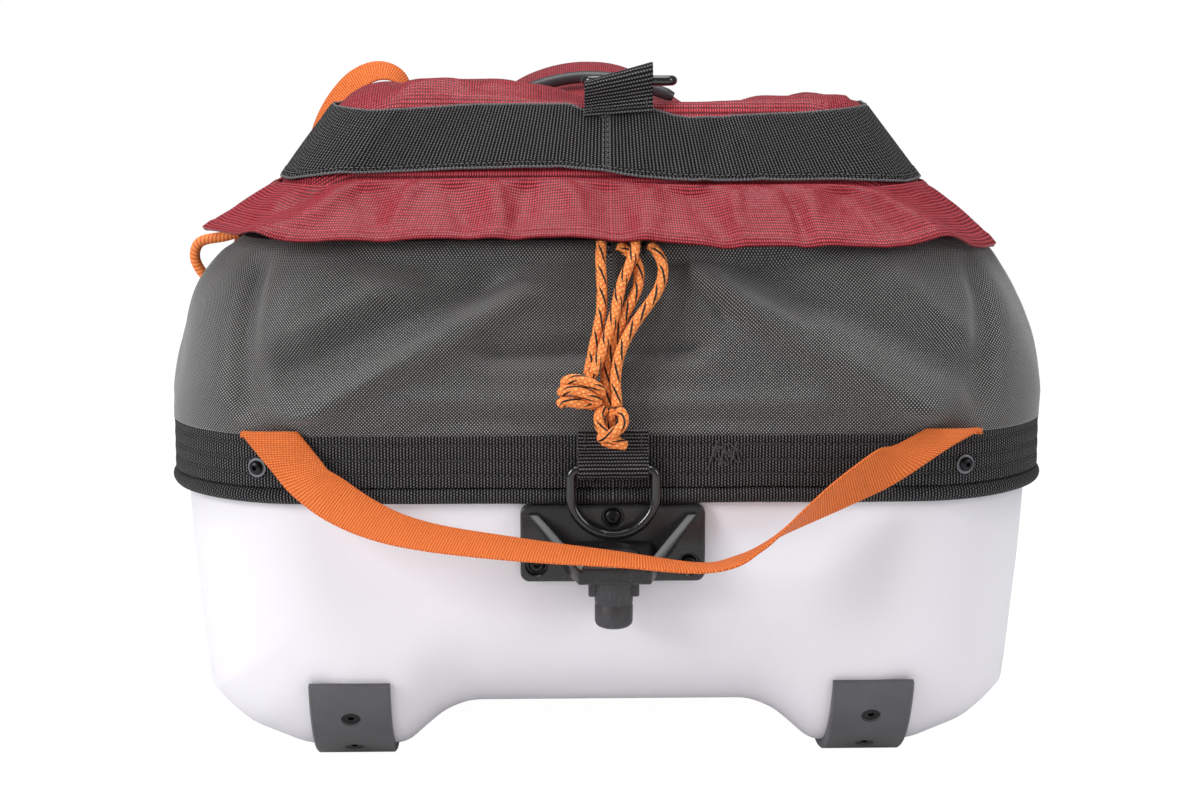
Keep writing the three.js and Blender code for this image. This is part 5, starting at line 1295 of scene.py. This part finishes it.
halves = STRAP_HALF * (np.cos(twist) * upward + np.sin(twist) * np.cross(upward, ahead))
run = lengths(centres) / lengths(centres)[-1]
level_half = np.array((FOLD_HALF, 0, 0))
for mask in (1 - smooth(run, 0.025, 0.13), smooth(run, 0.88, 0.965)):
    hands = np.where(halves[:, 0] < 0, -1, 1)
    halves = halves * (1 - mask[:, None]) + level_half * np.median(hands[mask > 0.5]) * mask[:, None]
strap("grab_strap_webbing", centres, halves, "strap", "grab_strap")

# The strap's folds: its tails turn over the band's top edge and go down behind it. They follow the band
# round the hull's corner, and are pinched a little at both edges.
fold_stations = np.linspace(-1, 1, 25)
fold_run = np.array([0, 1.2, 2.3, 4, 15, 16.3, 17.5, 34]) / 1000
fold_uv = np.stack(np.meshgrid(fold_run, fold_stations * 0.018), -1)
for side_name, hand in (("left", -1), ("right", 1)):
    rows = []
    for t in fold_stations:
        x = hand * (HALF_SPAN + 18.3 * t)
        edge = CORNER - math.sqrt((CORNER + 5.4) ** 2 - max(0, abs(x) - (HALF - CORNER)) ** 2)
        profile = [(-7.1, 234.35), (-7.25, 235.4), (-6.9, 236.4), (-5.4, 236.68), (edge - 1.0, 236.6),
                   (edge, 235.5), (edge - 0.5, 234.35)]
        pinch = 0.25 * (abs(t) > 0.97)
        rows.append([(x, y, z - pinch * (z > 235)) for y, z in profile])
    fold = lattice(f"strap_fold_{side_name}_tape", mm(rows), fold_uv, ends=True)
    dress(fold, strap_paint, "sled", f"strap_fold_{side_name}")

# The shoulder strap: the same webbing in a loose arch at the cover's left shoulder. Its foot meets the
# cover's webbing, and its head lies on the cover.
SHOULDER_Y, HEAD_X, FOOT_Z, ARCH = 300, 140, 400, 42.9
SHOULDER_POINTS = 120
foot = float(between(top_levels[1], top_levels[2], 398.3)[0]) + 4.6
head_z = max(cover_height(-HEAD_X, SHOULDER_Y + dy) for dy in (-STRAP_HALF, 0, STRAP_HALF)) + 1.3
arch = [(0, 0), (0.02, 0.27), (0.12, 0.6), (0.27, 0.96), (0.45, 1.28), (0.66, 1.44), (0.86, 1.34)]
line = [(-foot + a * (foot - HEAD_X), SHOULDER_Y, FOOT_Z + b * ARCH) for a, b in arch]
line = spline([*line, (-HEAD_X, SHOULDER_Y, head_z)], SHOULDER_POINTS)
ahead = headings(line)
away = np.column_stack([-ahead[:, 2], np.zeros(SHOULDER_POINTS), ahead[:, 0]])
turn = math.radians(34) * np.sin(np.linspace(0, math.pi, SHOULDER_POINTS))[:, None]
halves = STRAP_HALF * (np.array((0, 1, 0)) * np.cos(turn) + away * np.sin(turn))
strap("shoulder_strap_left_webbing", line, halves, "sled", "shoulder_strap_left")

# The side loops: thin orange cord that runs out from under the flap and back in, one at each side. The left
# one stands off the cloth, and the right one hangs lower.
p = Paint("orange loop cord")
turn_uv, run_uv = p.uv()
lay = ((turn_uv * 2 + run_uv / 0.0028).frac() - 0.5).abs()
# The lay's grooves are painted in the darker orange and its crowns lighter: painted shade in the grooves and
# a painted highlight on the crowns.
loop_paint = p.finish(p.mix(lay.ramp(0.1, 0.45), ORANGE_GAP_SHADE, (1.0, 0.31, 0.07)), 0.68, lay, 0.0004)
LOOP_REACH, LOOP_DROP, LOOP_RADIUS = 39.3, 51, 0.0036
top_z = riser_levels[-1][4] - 3
anchor = float(between(riser_levels[-2], riser_levels[-1], top_z)[0]) + 6.2
left_loop = [(-anchor, 144, top_z), (-264, 145, 350), (-281, 147, 346), (-285, 149, 334), (-277, 151, 321),
             (-265, 153, 322), (-258, 155, 334), (-anchor, 156, top_z)]
shares = ((0, 0), (0.313, 0.196), (0.695, 0.588), (1, 1))
strand = [(anchor + a * LOOP_REACH, top_z - b * LOOP_DROP) for a, b in shares]
right_loop = [(x, y, z) for (x, z), y in zip(strand + strand[::-1], (194, *[192.8] * 3, *[207.2] * 3, 206))]
for side_name, points in (("left", left_loop), ("right", right_loop)):
    loop = tube(f"side_loop_{side_name}_cord", mm(spline(points, 140)), LOOP_RADIUS, 16)
    dress(loop, loop_paint, "sled", f"side_loop_{side_name}")

# The studio: a white sweep of floor, soft overhead light and two side lights, as in a catalogue picture.
# To the camera the floor mostly glows white, so that shadows on it stay faint.
WHITE = (1, 1, 1, 1)
floor_mesh = bpy.data.meshes.new("floor")
floor_mesh.from_pydata([(-6, -6, 0), (6, -6, 0), (6, 9, 0), (-6, 9, 0)], [], [(0, 1, 2, 3)])
floor = placed("floor", floor_mesh)
p = Paint("white floor")
p.finish((0.88, 0.88, 0.88), 0.9)
rays = p.tree.nodes.new("ShaderNodeLightPath")
glow = p.node("ShaderNodeEmission", {}, Color=WHITE, Strength=1.12)
share = Value(p, rays.outputs["Is Camera Ray"]) * 0.88
both = p.node("ShaderNodeMixShader", {}, share, Value(p, p.bsdf.outputs[0]), glow)
p.tree.links.new(both.socket, p.tree.nodes["Material Output"].inputs["Surface"])
floor_mesh.materials.append(p.material)


def lamp(name, place, aim, size, watts):
    light = bpy.data.lights.new(name, "AREA")
    light.shape = "RECTANGLE"
    light.size, light.size_y = size
    light.energy = watts
    obj = placed(name, light)
    obj.location = place
    obj.rotation_euler = (Vector(aim) - Vector(place)).to_track_quat("-Z", "Y").to_euler()


lamp("overhead", (0, -0.5, 2.6), (0, 0, 0.2), (2.0, 2.0), 58)
lamp("left_box", (-2.2, -2.2, 1.4), (0, -0.4, 0.25), (0.8, 1.4), 54)
lamp("right_box", (2.3, -2.0, 1.3), (0, -0.4, 0.25), (0.8, 1.4), 21)
world = bpy.data.worlds.new("studio")
scene.world = world
world.use_nodes = True
sky = world.node_tree
dim = sky.nodes["Background"]
dim.inputs["Color"].default_value = WHITE
dim.inputs["Strength"].default_value = 0.22
bright = sky.nodes.new("ShaderNodeBackground")
bright.inputs["Color"].default_value = WHITE
rays = sky.nodes.new("ShaderNodeLightPath")
both = sky.nodes.new("ShaderNodeMixShader")
sky.links.new(rays.outputs["Is Camera Ray"], both.inputs[0])
sky.links.new(dim.outputs[0], both.inputs[1])
sky.links.new(bright.outputs[0], both.inputs[2])
sky.links.new(both.outputs[0], sky.nodes["World Output"].inputs["Surface"])
scene.view_settings.view_transform = "Standard"
